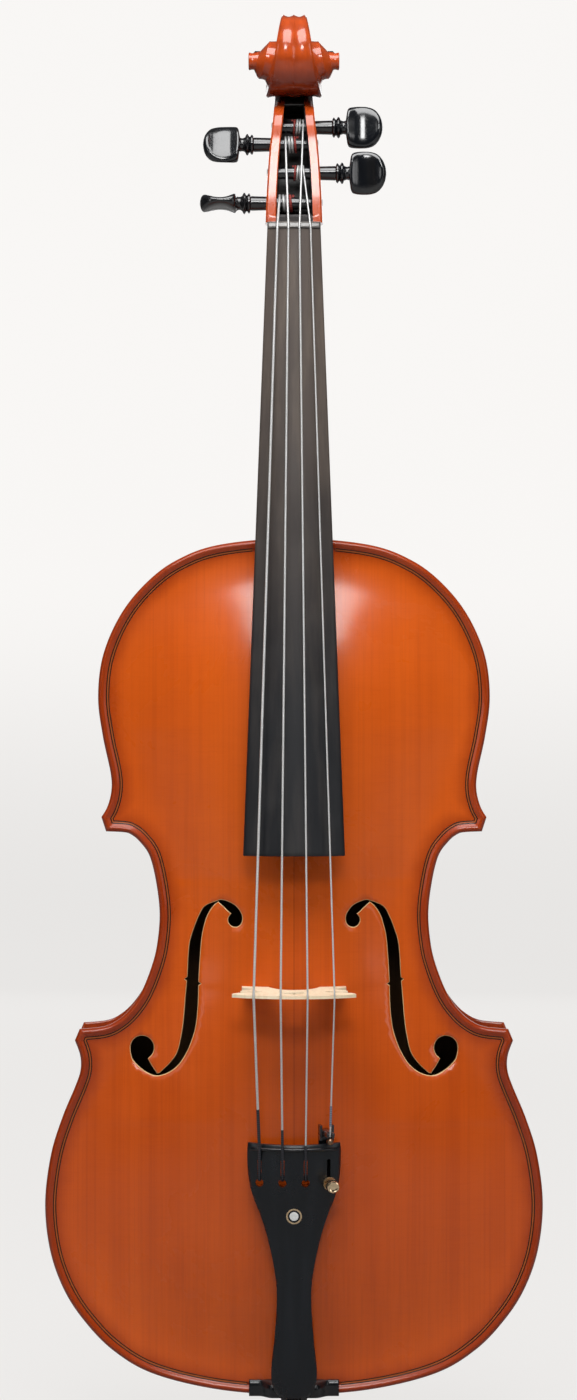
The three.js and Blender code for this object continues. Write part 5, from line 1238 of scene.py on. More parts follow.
# %% The scroll
def volute_shells():
    """Radius r(a) and half width h(a) shrink and widen turn by turn. Each turn is a fluted
    rim at r, a bevel, a hollowed flank in to the next turn's foot, and that turn's wall."""
    per_quarter, bevel = 24, 0.9
    turn_steps = 4 * per_quarter
    radius, half = (curve(volute_shares, per_quarter) * (volute_radius, volute_half_width)).T
    steps = len(radius) - 1

    def place(step, far, across):
        turn = -PI / 2 + 2 * PI * np.asarray(step) / turn_steps
        return at(across, eye_height + far * np.sin(turn), eye_along + far * np.cos(turn))

    def open_grid(grid):
        return grid.reshape(-1, 3), quads(*grid.shape[:2], around=False)

    first = np.arange(turn_steps + 1)
    share = np.linspace(-1, 1, 41)
    flute = np.sin(PI * np.abs(share)) ** 0.9
    across = share[None] * (half[first, None] - bevel)
    shells = [open_grid(place(first[:, None], radius[first, None] - flute[None], across))]
    inner = np.arange(steps - turn_steps + 1)
    r0, h0 = radius[inner], half[inner]
    r1, h1 = radius[inner + turn_steps], half[inner + turn_steps]
    foot_r, foot_h = r1 + 0.6, h0 + 0.3
    for side in (-1, 1):
        columns = [(r0, h0 - bevel), (r0 - bevel, h0)]
        for u in np.linspace(0, 1, 10)[1:]:
            columns.append((mix(r0 - bevel, foot_r, u), mix(h0, foot_h, u) - 1.1 * np.sin(PI * u) ** 1.2))
        for u in np.linspace(0, 1, 8)[1:]:
            columns.append((mix(foot_r, r1, u) - 0.25 * np.sin(PI * u), mix(foot_h, h1 - bevel, u)))
        columns.append((r1 - bevel, h1))
        shells.append(open_grid(np.stack([place(inner, far, side * wide) for far, wide in columns], axis=1)))
        last = np.arange(steps - turn_steps, steps + 1)
        rim_of_eye = place(last, radius[last] - bevel, side * half[last])
        ring = np.vstack([rim_of_eye, place(last[:1], foot_r[-1:], side * foot_h[-1:])])
        middle = at(side * (half[-1] + 0.6), eye_height, eye_along)[None]
        inner_ring = mix(ring, middle, 0.5) + np.array([side * 0.4 * MM, 0, 0])
        count = len(ring)
        faces = quads(2, count) + [[count + i, count + (i + 1) % count, 2 * count] for i in range(count)]
        shells.append((np.vstack([ring, inner_ring, middle]), faces))
    return shells


def eye_shells():
    """The eye: a short turned stub on each side, a little waisted, with a rounded flat end."""
    profile = smooth([(11, 4.6), (15, 4.5), (18, 4.15), (20, 3.95), (21.1, 4.2)], 24)
    profile = np.vstack([profile, [(21.45, 4.25), (21.7, 4.05), (21.8, 3.7), (21.75, 2.2), (21.6, 0.03)]])
    turn = circle(48)[None]
    out, radius = profile[:, :1], profile[:, 1:]
    height, along = eye_height + radius * np.sin(turn), eye_along + radius * np.cos(turn)
    return [skin(at(side * out, height, along)) for side in (-1, 1)]


def make_neck():
    """The faces inside the pegbox's hollow have the dark paint, which also stands as painted shade of the
    hollow; all others the varnish.
    """
    pegbox = pegbox_rings()
    shells = [skin(neck_rings()), skin(pegbox), *volute_shells(), *eye_shells()]
    kinds = [[0] * len(faces) for _, faces in shells]
    columns = pegbox.shape[1]
    column = np.arange((len(pegbox) - 1) * columns) % columns
    hollow = (column > columns - 10) & (column < columns - 1)
    kinds[1][: len(column)] = hollow.astype(int).tolist()
    piece(
        "neck_and_scroll", shells, [neck_varnish, pegbox_paint_and_shade], "neck", crisp=36,
        kinds=[kind for part in kinds for kind in part],
    )


make_neck()

# %% [markdown]
# ## Fingerboard and nut
# The fingerboard is ebony, planed to a round top and hollowed below where it hangs free over
# the belly. The nut is a small ebony block at its upper end with a groove for each string.

# %% Fingerboard and nut
string_steps = np.arange(4) - 1.5
tail_spacing, bridge_spacing, nut_spacing = 10.8, 12.5, 5.25
string_radii = np.array([0.6, 0.5, 0.45, 0.4])


def nut_top(across):
    """The nut's round top, a little over the fingerboard's."""
    return board_top(nut_front, across) + 0.7


def make_fingerboard():
    """Rings across: the crown, two rounded edges, the sides and the hollow underneath."""
    end, hollow_end = nut_front - board_length, 412
    along = np.concatenate([
        [end, end + 0.15, end + 0.5], np.linspace(end + 2, hollow_end, 60), np.linspace(414, 424, 9),
        np.linspace(428, nut_front - 0.1, 50),
    ])
    shrink = np.concatenate([[0.5, 0.15, 0], np.zeros(len(along) - 3)])
    hollow = 6 * (1 - band_share(along, hollow_end, body_top))
    half = board_half(along) - shrink
    columns = []
    for k in np.linspace(-1, 1, 49):
        across = k * (half - 0.5)
        columns.append((across, board_top(along, across) - shrink))
    side_top = board_top(along, half)
    low = glue_height(along) + 0.1
    for k in (0.3, 0.7, 1.0):
        turn = k * PI / 2
        columns.append((half - 0.5 + 0.5 * np.sin(turn), side_top - 0.5 + 0.5 * np.cos(turn)))
    columns += [(half, low + 0.3), (half - 0.3, low)]
    for k in np.linspace(1, -1, 25):
        columns.append((k * (half - 3), low + hollow * (1 - k**2)))
    columns += [(-half + 0.3, low), (-half, low + 0.3)]
    for k in (1.0, 0.7, 0.3):
        turn = k * PI / 2
        columns.append((-half + 0.5 - 0.5 * np.sin(turn), side_top - 0.5 + 0.5 * np.cos(turn)))
    rings = rings_along(columns, along)
    piece("long_fingerboard", skin(rings), board_ebony, "fingerboard", crisp=40)


def make_nut():
    """Across it runs the fingerboard's crown with four grooves; along it a rounded fall."""
    back = np.array([0, 0.15, 0.5, 1.0, 1.6, 2.2, 2.8, 3.2, 3.4])
    fall = np.array([0.25, 0.08, 0.0, 0.16, 0.48, 0.85, 1.3, 1.75, 2.6])
    across = np.linspace(-board_half_at_nut, board_half_at_nut, 161)
    gap = np.abs(across[:, None] - (string_steps * nut_spacing)[None])
    groove = np.sqrt(np.maximum((string_radii + 0.1) ** 2 - gap**2, 0)).max(1) * 0.9
    end_round = 0.8 * np.clip((np.abs(across) - board_half_at_nut + 0.8) / 0.8, 0, 1) ** 2
    top = nut_top(across)[None] - fall[:, None] - groove[None] * (fall[:, None] < 3) - end_round[None]
    top = np.maximum(top, glue_height(nut_front + back)[:, None] + 0.5)
    low = glue_height(nut_front + back)[:, None] + 0.1
    along = (nut_front + back)[:, None]
    upper = at(across[None], top, along)
    lower = at(across[None, ::-1], np.broadcast_to(low, top.shape), along)
    piece("grooved_nut", skin(np.concatenate([upper, lower], axis=1)), glare_grey_nut_ebony, "nut")


make_fingerboard()
make_nut()

# %% [markdown]
# ## Pegs
# A peg is turned on a lathe and then its head is filed into a flat thumb piece with hollowed
# faces. Its shank tapers, so that it wedges in both cheeks of the pegbox. Each one is made
# lying along its own axis and then turned the way the photograph shows it.

# %% Pegs
# The head: shares of its length, half width and half thickness. The collars: place, radius.
peg_head_shares = [
    (0, 0.34, 0.72), (0.012, 0.6, 0.85), (0.03, 0.78, 0.96), (0.07, 0.9, 1), (0.14, 0.96, 0.86),
    (0.28, 0.995, 0.6), (0.42, 1, 0.5), (0.56, 0.985, 0.54), (0.7, 0.92, 0.7), (0.8, 0.81, 0.86),
    (0.87, 0.68, 0.92), (0.92, 0.55, 0.86), (0.96, 0.4, 0.68), (0.985, 0.24, 0.42), (1, 0.06, 0.12),
]
peg_head_size = (17.7, 10.3, 4.8)
collar_profile = [
    (-1.7, 3.3), (-1.5, 4.3), (-1.1, 4.75), (-0.5, 4.75), (-0.1, 4.2), (0.2, 3.7), (0.6, 4.4), (1.0, 5.0),
    (1.5, 5.15), (2.0, 4.8), (2.3, 4.1), (2.6, 3.6), (3.2, 3.2), (4.0, 3.1), (4.8, 3.4),
]
# Each peg: shares of the pegbox's length and depth, the head's side, the collar's place and
# the string's place in pegbox half widths, and the head's turn in degrees.
peg_places = {
    "c": (0.125, 0.508, -1, 1.65, 0.51, 86),
    "g": (0.489, 0.208, -1, 1.55, 0.3, -30),
    "d": (0.597, 0.083, 1, 1.48, 0.33, -9),
    "a": (0.311, 0.375, 1, 1.6, 0.33, 4),
}


def peg_radius(across):
    """The shank's taper."""
    return mix(2.6, 3.3, (across + pegbox_half_width) / (2 * pegbox_half_width))


def peg_shell(collar, cheek):
    """Rings along x: (x, t(x) cos a, w(x) sin a), with the head's faces sunk between its edges."""
    tip, stem = -cheek - 0.5, 5
    round_part = [(tip + d, peg_radius(-cheek) * e) for d, e in ((0, 0.45), (0.12, 0.8), (0.35, 0.95))]
    round_part += [(x, peg_radius(x)) for x in np.linspace(tip, collar - 1.8, 30)[1:]]
    round_part += [(collar + d, r) for d, r in collar_profile]
    way = np.sin(np.linspace(0.06, PI / 2, 60)) ** 1.4
    width, thickness = read(peg_head_shares, way)
    head = np.stack([way, width, thickness], axis=-1) * peg_head_size + (collar + stem, 0, 0)
    stations = np.vstack([np.array(round_part)[:, [0, 1, 1]], head])
    turn = circle(40, PI / 40)[None]
    x, wide, thick = (column[:, None] for column in stations.T)
    flat = np.clip(wide / np.maximum(thick, 0.1) - 1, 0, 1)
    dish = 1 - 0.2 * flat * np.cos(turn) ** 4
    heights = np.sin(turn) * wide
    sides = np.cos(turn) * np.abs(np.cos(turn)) ** (-0.25 * flat) * thick * dish
    return np.stack([np.broadcast_to(x, sides.shape), sides, heights], axis=-1)


def in_pegbox(way, depth):
    """A place's height and its way along, from its shares of the pegbox."""
    return eye_height + depth * pegbox_depth, mix(nut_back, eye_along, way)


def make_pegs():
    """Each peg, turned about its own axis and set at its place in the pegbox."""
    for name, (way, depth, side, out, _, turn) in peg_places.items():
        width = float(read(pegbox_shares, np.array([way]))[2][0])
        rings = peg_shell(out * pegbox_half_width, width * pegbox_half_width)
        turned = Matrix.Rotation(np.radians(turn), 3, "X") @ Matrix.Rotation(PI if side < 0 else 0, 3, "Z")
        rings = rings @ np.array(turned).T * MM + at(0, *in_pegbox(way, depth))
        piece(f"{name}_string_peg", skin(rings), peg_ebony, f"peg_{name}", body=f"peg_{name}")


make_pegs()

# %% [markdown]
# ## Strings
# Each string is a round wire that is pulled straight between its bearings: the tailpiece,
# the bridge, the nut and its peg. Where it bends, the corner is eased a little. Both ends
# are wrapped in silk, so that the wire doesn't cut into wood. The silk's first turns lie on
# the string, and the turns that stay on a peg are a separate piece, because they turn with
# that peg.

# %% Where the strings run
bridge_top = board_top(bridge_along, 0) + 3.2
tail_length, tail_end_along = 120.7, body_bottom + 1.6
tail_top_along = tail_end_along + tail_length
fret_along, keyhole_along = tail_top_along - 2.9, tail_top_along - 18.8
tail_top_under, tail_end_under = rib_half + 26, rib_half + 14.6
tail_slope = np.arctan2(tail_top_under - tail_end_under, tail_length)
tail_half_width = 21.9
tail_shares = [
    (0, 0.985), (0.04, 1), (0.13, 0.977), (0.21, 0.88), (0.29, 0.71), (0.37, 0.575), (0.49, 0.43),
    (0.6, 0.368), (0.76, 0.415), (0.9, 0.49), (0.97, 0.44), (1, 0.33),
]
tail_side, hole_radius, ball_radius = 3.4, 1.9, 1.7
string_names = ("c", "g", "d", "a")
silk_ends, a_silk_start, silk_thickness = (155.6, 146.2, 138.7, 157.2), 147.6, 0.14


def tail_share(along):
    """The share of the way from the tailpiece's wide end to its narrow one."""
    return np.clip((tail_top_along - along) / tail_length, 0, 1)


def tail_under(along):
    """The tailpiece's underside."""
    return mix(tail_top_under, tail_end_under, (tail_top_along - along) / tail_length)


def tail_half(along):
    """The tailpiece's half width."""
    return read(tail_shares, tail_share(along))[0] * tail_half_width


def tail_top(along, across):
    """under + side + crown (1 - (x / half)^2), the crown flattening towards the lower end."""
    along, across = np.broadcast_arrays(np.asarray(along, float), np.asarray(across, float))
    half = tail_half(along)
    crown = mix(crown_fall(board_radius, half), 2.2, tail_share(along))
    return tail_under(along) + tail_side + crown * (1 - np.clip(across / half, -1, 1) ** 2)


def rounded(path, cut):
    """The path with each corner eased: straight up to cut from it, then a quadratic curve."""
    path = np.asarray(path, float)
    out = [path[:1]]
    for before, corner, after in zip(path[:-2], path[1:-1], path[2:]):
        to_before, to_after = before - corner, after - corner
        near, far = np.linalg.norm(to_before), np.linalg.norm(to_after)
        start = corner + to_before / near * min(cut, near * 0.45)
        end = corner + to_after / far * min(cut, far * 0.45)
        t = np.linspace(0, 1, 7)[:, None]
        out.append((1 - t) ** 2 * start + 2 * t * (1 - t) * corner + t**2 * end)
    out.append(path[-1:])
    return np.vstack(out)


tuner_across = 1.5 * tail_spacing
tuner_place = at(tuner_across, float(tail_top(keyhole_along, tuner_across)), keyhole_along)
tuner_turn = np.array(Matrix.Rotation(tail_slope, 3, "X") @ Matrix.Rotation(np.radians(12), 3, "Z"))


def from_tuner(places):
    """Places in the tuner's own directions (across, height, along), as places in metres."""
    return (np.asarray(places, float) * (1, -1, 1)) @ tuner_turn.T * MM + tuner_place


def string_way(i):
    """One string's corners in metres, from the tailpiece to half a turn round its peg."""
    radius, step = string_radii[i], string_steps[i]
    across, at_bridge, at_nut = step * np.array([tail_spacing, bridge_spacing, nut_spacing])
    if i == 3:
        start = [from_tuner([0, 2.9, 22.4])]
    else:
        down = keyhole_along + hole_radius - radius
        start = [
            at(across, tail_top(down, across) - 5, down - 0.2),
            at(across, tail_top(down, across) - 1.2, down),
            at(across, tail_top(fret_along, across) + 1.15 + radius, fret_along),
        ]
    bridge_height = bridge_top - crown_fall(board_radius, at_bridge) + 0.5 * radius
    nut_place = (at_nut, float(nut_top(at_nut)) + 0.25 * radius, nut_front + 0.5)
    way = [*start, at(at_bridge, bridge_height, bridge_along + 0.7), at(*nut_place)]
    way_share, depth, side, _, laid, _ = peg_places[string_names[i]]
    laid = side * laid * pegbox_half_width
    lay = peg_radius(side * laid) + radius + 0.08
    peg_height, peg_along = in_pegbox(way_share, depth)
    reach, climb = peg_along - nut_place[2], nut_place[1] - peg_height
    first = np.arctan2(climb, -reach) - np.arccos(lay / np.hypot(reach, climb))
    turn = first - np.linspace(0, PI, 25)
    half_turn = at(laid, peg_height + lay * np.sin(turn), peg_along + lay * np.cos(turn))
    return np.vstack([rounded(np.vstack([*way, half_turn[:1]]), 0.0009), half_turn[1:]])


def cut_at(path, along):
    """The path with one more place where it first rises past a level along the instrument."""
    above = np.flatnonzero(path[:, 2] > along * MM)
    i = int(above[0])
    if i == 0:
        return path, 0
    share = (along * MM - path[i - 1, 2]) / (path[i, 2] - path[i - 1, 2])
    extra = mix(path[i - 1], path[i], share)[None]
    return np.vstack([path[:i], extra, path[i:]]), i


def make_strings():
    """Each string's runs of wire (kind 0) and silk (1, 2), and its ball (3) in its keyhole."""
    for i, name in enumerate(string_names):
        path, cut = cut_at(string_way(i), silk_ends[i])
        radius = string_radii[i]
        runs = [(path[: cut + 1], 1), (path[cut:], 0)]
        if i == 3:
            low, low_cut = cut_at(path[: cut + 1], a_silk_start)
            runs = [(low[: low_cut + 1], 0), (low[low_cut:], 2), *runs[1:]]
        parts = [
            (skin(tube(run, (radius + (silk_thickness if kind else 0)) * MM, 16)), kind)
            for run, kind in runs if len(run) > 1
        ]
        if i < 3:
            across, along = string_steps[i] * tail_spacing, keyhole_along + 1.95
            ball_place = at(across, tail_top(along, across) - 4.8 - 1.6, along)
            parts.append((skin(ball_shell(ball_radius) * MM + ball_place), 3))
        kinds = [kind for shell, kind in parts for _ in shell[1]]
        piece(
            f"{name}_string_wire", [shell for shell, _ in parts],
            [string_steel, dark_silk, blue_silk, bronze], f"string_{name}",
            crisp=60, kinds=kinds,
        )


def ball_shell(radius, rows=14, sides=28):
    """A sphere's rings, all but its poles: (r sin b cos a, r sin b sin a, r cos b)."""
    down, turn = np.linspace(0.02, PI - 0.02, rows)[:, None], circle(sides)[None]
    unit = np.sin(down) * np.cos(turn), np.sin(down) * np.sin(turn), np.cos(down)
    return radius * np.stack(np.broadcast_arrays(*unit), axis=-1)


def make_windings():
    """A helix: three turns side by side on the peg, starting beside the string's own turn."""
    for i, name in enumerate(string_names):
        way, depth, side, _, laid, _ = peg_places[name]
        radius = string_radii[i] + 0.04
        laid = side * laid * pegbox_half_width
        turn = np.linspace(0, 3 * 2 * PI, 220)
        pitch = 2 * string_radii[i] + 0.42
        across = laid - np.sign(laid) * pitch * (1 + turn / (2 * PI))
        lay = peg_radius(0) + radius + 0.05
        path = at(across, lay * np.sin(turn), lay * np.cos(turn)) + at(0, *in_pegbox(way, depth))
        shell = skin(tube(path, radius * MM, 14))
        wound = np.arange(len(shell[1])) > 0.62 * len(shell[1])
        piece(
            f"{name}_string_turns", shell, [string_steel, wine_silk], f"winding_{name}",
            body=f"peg_{name}", crisp=60, kinds=wound.astype(int),
        )


make_strings()
make_windings()

# %% [markdown]
# ## The bridge
# The bridge is a thin maple plate standing on two feet that are cut to the arch. It is
# pierced by a heart and by the cuts at its waist, and it thins from the feet to the edge
# that carries the strings. It is drawn flat, as a pierced sheet, in the plane across the body.

# %% Bridge
bridge_base, bridge_foot_half, bridge_top_half = rib_half + 11, 24.4, 28.9
bridge_rise = bridge_top - bridge_base


def bridge_loop():
    """Half of the outline in four sweeps, then its mirror image."""
    def spots(rows, count):
        return smooth(np.array(rows, float) * (bridge_foot_half, bridge_rise) + (0, bridge_base), count)

    arch = spots([(0, 0.38), (0.16, 0.365), (0.3, 0.31), (0.42, 0.23), (0.49, 0.15), (0.5, 0.09)], 34)
    side = spots([
        (1, 0.1), (1, 0.18), (0.9, 0.24), (0.8, 0.3), (0.86, 0.37), (1, 0.43), (1.03, 0.47), (0.98, 0.5),
        (0.8, 0.49), (0.66, 0.475), (0.6, 0.52), (0.64, 0.57), (0.76, 0.585), (0.9, 0.58), (1.06, 0.605),
        (1.15, 0.66), (1.183, 0.705),
    ], 130)
    sole_across = np.linspace(0.5, 1, 22) * bridge_foot_half
    sole = plate_rise(sole_across, np.full(22, bridge_along + 2.0), belly_arch) + rib_half + 0.02
    sole = np.stack([sole_across, sole], axis=-1)
    across = np.linspace(bridge_top_half, 0, 80)
    gap = np.abs(across[:, None] - np.unique(np.abs(string_steps) * bridge_spacing)[None])
    notch = 0.5 * np.exp(-((gap / 0.55) ** 2)).max(1)
    crown = np.stack([across, bridge_top - crown_fall(board_radius, across) - notch], axis=-1)
    half = np.vstack([arch, sole, side, crown])
    return apart(np.vstack([half, half[-2:0:-1] * (-1, 1)]), 0.05)


def make_bridge():
    """The heart is x = 16 sin^3 t, y = 5 cos 2t + 2 cos 3t + cos 4t - 13 cos t, scaled; the
    thickness falls from 4.2 at the feet to 1.4 near the top."""
    t = circle(90)
    point_to_lobes = 13 * np.cos(t) - 5 * np.cos(2 * t) - 2 * np.cos(3 * t) - np.cos(4 * t)
    heart = np.stack([16 * np.sin(t) ** 3, -point_to_lobes], -1)
    heart = heart / 16 * 4.7 + (0, mix(bridge_base, bridge_top, 0.66))

    def place(x, h, v):
        up = np.clip((h - bridge_base) / bridge_rise, 0, 1)
        front = mix(4.2, 1.4, np.clip(up / 0.8, 0, 1) ** 0.7)
        return at(x, h, bridge_along + front * (1 - v))

    shell = sheet(bridge_loop(), [apart(heart, 0.05)], 1.3, place, wall_steps=3)[:2]
    piece("cut_bridge", shell, bridge_wood, "bridge", crisp=45)


make_bridge()

# %% [markdown]
# ## The tailpiece
# An ebony tulip, crowned on top and hollowed beneath, with a slotted keyhole for each string
# and a raised fret at its wide end. A gilt ring and a white dot are let into its middle.

# %% Tailpiece
slot_half, slot_length, tuner_hole_radius = 0.85, 10.5, 2.3


def keyhole_loop(across, radius):
    """A round hole with a narrow slot towards the bridge, as one loop."""
    open_angle = np.arcsin(slot_half / radius)
    turn = PI / 2 + open_angle + np.linspace(0, 2 * PI - 2 * open_angle, 40)
    ring = np.stack([across + radius * np.cos(turn), keyhole_along + radius * np.sin(turn)], axis=-1)
    end = keyhole_along + slot_length
    cap = np.linspace(0, PI, 9)
    tip = np.stack([across + slot_half * np.cos(cap), end + slot_half * np.sin(cap)], axis=-1)
    return np.vstack([ring, tip])


def tail_loop():
    """The outline: the bowed wide end, one side, the narrow end and the other side."""
    along = mix(tail_top_along, tail_end_along, smooth(np.linspace(0, 1, 3)[:, None], 140)[:, 0])
    half = tail_half(along)
    top = np.linspace(-0.985, 0.985, 50)[1:-1] * tail_half_width
    bow = 0.9 * (1 - (top / tail_half_width) ** 2)
    side = np.stack([half, along], axis=-1)
    end = np.linspace(1, -1, 16)[1:-1] * half[-1]
    low = np.stack([end, tail_end_along - 0.5 * (1 - (end / half[-1]) ** 2)], axis=-1)
    wide_end = np.stack([top, tail_top_along - bow], axis=-1)
    return apart(np.vstack([wide_end, side, low, side[::-1] * (-1, 1)]), 0.05)


def make_tailpiece():
    """The crown falls by 0.8 in the last 0.9 before the edge; the wall is 4.6 high at most."""
    outer = tail_loop()
    shut = np.vstack([outer, outer[:1]])
    holes = [keyhole_loop(step * tail_spacing, hole_radius) for step in string_steps[:3]]
    holes.append(keyhole_loop(tuner_across, tuner_hole_radius))

    def place(x, z, v):
        top = tail_top(z, x)
        under = np.maximum(tail_under(z), top - 4.6)
        near = np.clip(1 - nearest(np.stack([x, z], -1), shut) / 0.9, 0, 1)
        return at(x, mix(top - 0.8 * near**2, under, v), z)

    shell = sheet(outer, holes, 1.6, place, wall_steps=3)[:2]
    piece("tulip_tailpiece", shell, tail_ebony, "tailpiece", crisp=42)


def make_fret():
    """A half round ridge that follows the tailpiece's crown."""
    share = np.linspace(-1, 1, 61)[:, None]
    across = share * (float(tail_half(fret_along)) - 1.2)
    turn = np.linspace(0, PI, 13)[None]
    height = tail_top(fret_along, across) - 0.35 + 1.45 * (1 - np.abs(share) ** 14) * np.sin(turn)
    rings = at(across, height, fret_along + 0.95 * np.cos(turn))
    piece("ridge_fret", skin(rings), fitting_ebony, "tailpiece_fret", crisp=50)


def draped_disc(inner, outer, proud, sides=56):
    """A flat ring or disc laid on the tailpiece's crown: rows of circles, draped by height."""
    turn = circle(sides)[None]
    radius, rise = (column[:, None] for column in np.array([
        (inner, -0.6), (inner, proud * 0.6), (inner + 0.12, proud), (outer - 0.12, proud),
        (outer, proud * 0.6), (outer, -0.6),
    ]).T)
    x, z = radius * np.cos(turn), tail_top_along - 34.6 + radius * np.sin(turn)
    return at(x, tail_top(z, x) + rise, z)


def make_eye():
    """The tailpiece's inlaid ring, and the dot in its middle."""
    ring, dot = draped_disc(2.95, 3.7, 0.12), draped_disc(0.02, 2.1, 0.1)
    piece("gilt_eye_ring", skin(ring, joined=True), gilt, "inlay_ring", crisp=40)
    piece("pearl_eye_dot", skin(dot), pearl, "inlay_dot", crisp=40)


make_tailpiece()
make_fret()
make_eye()

# %% [markdown]
# ## The fine tuner
# The thinnest string is tuned by a screw that presses on a lever under the tailpiece. The
# knurled screw and the clamp ring are gilt turned work, and the ball is a sphere. The lever
# is built from rounded bars. The body is lacquered black like it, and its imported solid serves
# with its edges eased.

# %% Fine tuner
def turned(profile, depth, knurls=14, sides=84):
    """Rings about the screw: (r cos a, height, r sin a), with r cut by |sin(k a)| where knurled."""
    turn = circle(sides)[None]
    radius, rise, share = (column[:, None] for column in np.array(profile, float).T)
    radius = radius * (1 - share * depth * np.abs(np.sin(knurls * turn)))
    return np.stack(np.broadcast_arrays(radius * np.cos(turn), rise, radius * np.sin(turn)), axis=-1)


def make_tuner():
    """Profiles of (radius, height, share of the knurls' depth)."""
    head = [
        (0.05, -7.9, 0), (0.5, -7.9, 0), (0.8, -7.5, 0), (0.8, 5.9, 0), (2.2, 6.05, 0), (2.7, 6.2, 0),
        (3.0, 6.5, 1), (3.05, 7.0, 1), (3.05, 9.5, 1), (3.0, 9.9, 1), (2.7, 10.2, 0), (2.2, 10.38, 0),
        (1.6, 10.1, 0), (1.2, 10.0, 0), (0.6, 10.15, 0), (0.03, 10.2, 0),
    ]
    ring = [(2.0, 0.9, 0), (3.05, 0.9, 0), (3.3, 1.15, 1), (3.3, 2.65, 1), (3.05, 2.9, 0), (2.0, 2.9, 0)]
    screw, clamp = from_tuner(turned(head, 0.07)), from_tuner(turned(ring, 0.06))
    ball = from_tuner(ball_shell(ball_radius) + (0, 2.9, 20.1))
    piece("knurled_screw", skin(screw), gilt, "tuner_screw", body="tuner_screw", crisp=30)
    piece("knurled_clamp_ring", skin(clamp, joined=True), gilt, "tuner_clamp", crisp=30)
    piece("bronze_ball_end", skin(ball), bronze, "ball_end_a", body="tuner_lever", crisp=60)
    eased = frame["nodes"]["tuner_body"].modifiers.new("eased edges", "BEVEL")
    eased.width, eased.segments, eased.limit_method = 0.0002, 2, "ANGLE"


def bar(stations, upright=False):
    """Rings of rounded rectangles (c + h |cos a|^0.25, d + k |sin a|^0.25) at each station's
    (place, c, h, d, k), either along the tuner or standing up."""
    place, c, h, d, k = (column[:, None] for column in np.array(stations, float).T)
    across_turn, other_turn = np.cos(circle(32, PI / 32))[None], np.sin(circle(32, PI / 32))[None]
    across = c + h * np.sign(across_turn) * np.abs(across_turn) ** 0.25
    other = d + k * np.sign(other_turn) * np.abs(other_turn) ** 0.25
    place = np.broadcast_to(place, across.shape)
    return np.stack([across, place, other] if upright else [across, other, place], axis=-1)


def make_lever():
    """The arm's underside rises towards its thin round end, so that it swings clear of the
    belly. Its other end stands up as a fork of two prongs, and a pin goes through the root."""
    arm_top, fork_along, pin_height = -8.22, 23.2, -6.2
    arm = [(-2.6, 0, 0.7, -8.5, 0.12)]
    for along in (-2.5, -2.2, -1.6, -0.8, 0.4, 4, 8, 12, 16, 20, 23.9, 24.2, 24.25):
        half = 1.9 * np.sqrt(np.clip(1 - ((0.2 - along) / 3) ** 2, 0.1, 1)) if along < 0.2 else 1.9
        half -= 0.15 if along > 24 else 0
        thick = float(np.interp(along, [-2.5, 0.4, 14], [0.28, 0.36, 0.74])) - (0.1 if along > 24.22 else 0)
        arm.append((along, 0, half, arm_top - thick, thick))
    root_steps = ((-9.6, 0.1), (-9.4, 0), (0.6, 0), (0.78, 0.05), (0.8, 0.15))
    prong_steps = ((0.4, 0), (4.3, 0), (4.55, 0.1), (4.68, 0.3))
    upright = [[(h, 0, 1.88 - e, fork_along, 1.08 - e) for h, e in root_steps]]
    for side in (-1, 1):
        upright.append([(h, side * 1.32, 0.56 - e, fork_along, 1.08 - e) for h, e in prong_steps])
    turn = circle(28)[None]
    place, radius = np.array([(-3.4, 0.75), (-3.3, 0.88), (3.3, 0.88), (3.4, 0.75)]).T[:, :, None]
    pin = np.broadcast_arrays(place, pin_height + radius * np.cos(turn), fork_along + radius * np.sin(turn))
    rings = [bar(arm), *(bar(stations, upright=True) for stations in upright), np.stack(pin, axis=-1)]
    piece(
        "swinging_lever", [skin(from_tuner(ring)) for ring in rings], black_lacquer, "tuner_lever",
        body="tuner_lever", crisp=30,
    )


make_tuner()
make_lever()

# %% [markdown]
# ## Saddle, end button and tailgut
# The tailpiece is held by a nylon cord. It goes over an ebony saddle that is let into the
# belly's edge, and round the turned button that is fitted into the end block.

# %% Saddle, button and cord
saddle_rise, button_neck_radius, cord_radius = 12, 4.4, 1.1


def make_saddle():
    """Rings across: the level top falls in a curve to each flank, all edges rounded."""
    out = np.concatenate([np.linspace(-20.6, 20.6, 90)[45:], np.linspace(20.9, 21.3, 4)])
    across = np.concatenate([-out[::-1], out])
    fall = band_share(np.abs(across), 10.2, 16.6)
    end = np.clip((np.abs(across) - 20.9) / 0.4, 0, 1)
    crest = rib_half + mix(saddle_rise, 5.8, fall) - 0.5 * end**2
    base = np.full_like(across, rib_half + 0.02)
    front, rear = body_bottom - 0.35, body_bottom + 7.6
    top_rear = mix(rear - 2.2, rear - 0.6, fall)
    columns = [
        (base, front), (crest - 1.4, front), (crest - 0.6, front + 0.2), (crest - 0.15, front + 0.8),
        (crest, front + 1.6), (crest, mix(front + 1.6, top_rear, 0.6)), (crest - 0.25, top_rear),
        (crest - 0.9, top_rear + 0.5), (mix(base, crest, 0.45), rear - 0.25),
        (mix(base, crest, 0.2), rear), (base, rear),
    ]
    rings = np.stack([at(across, h, z) for h, z in columns], axis=1)
    piece("ebony_saddle", skin(rings), fitting_ebony, "saddle", crisp=50)


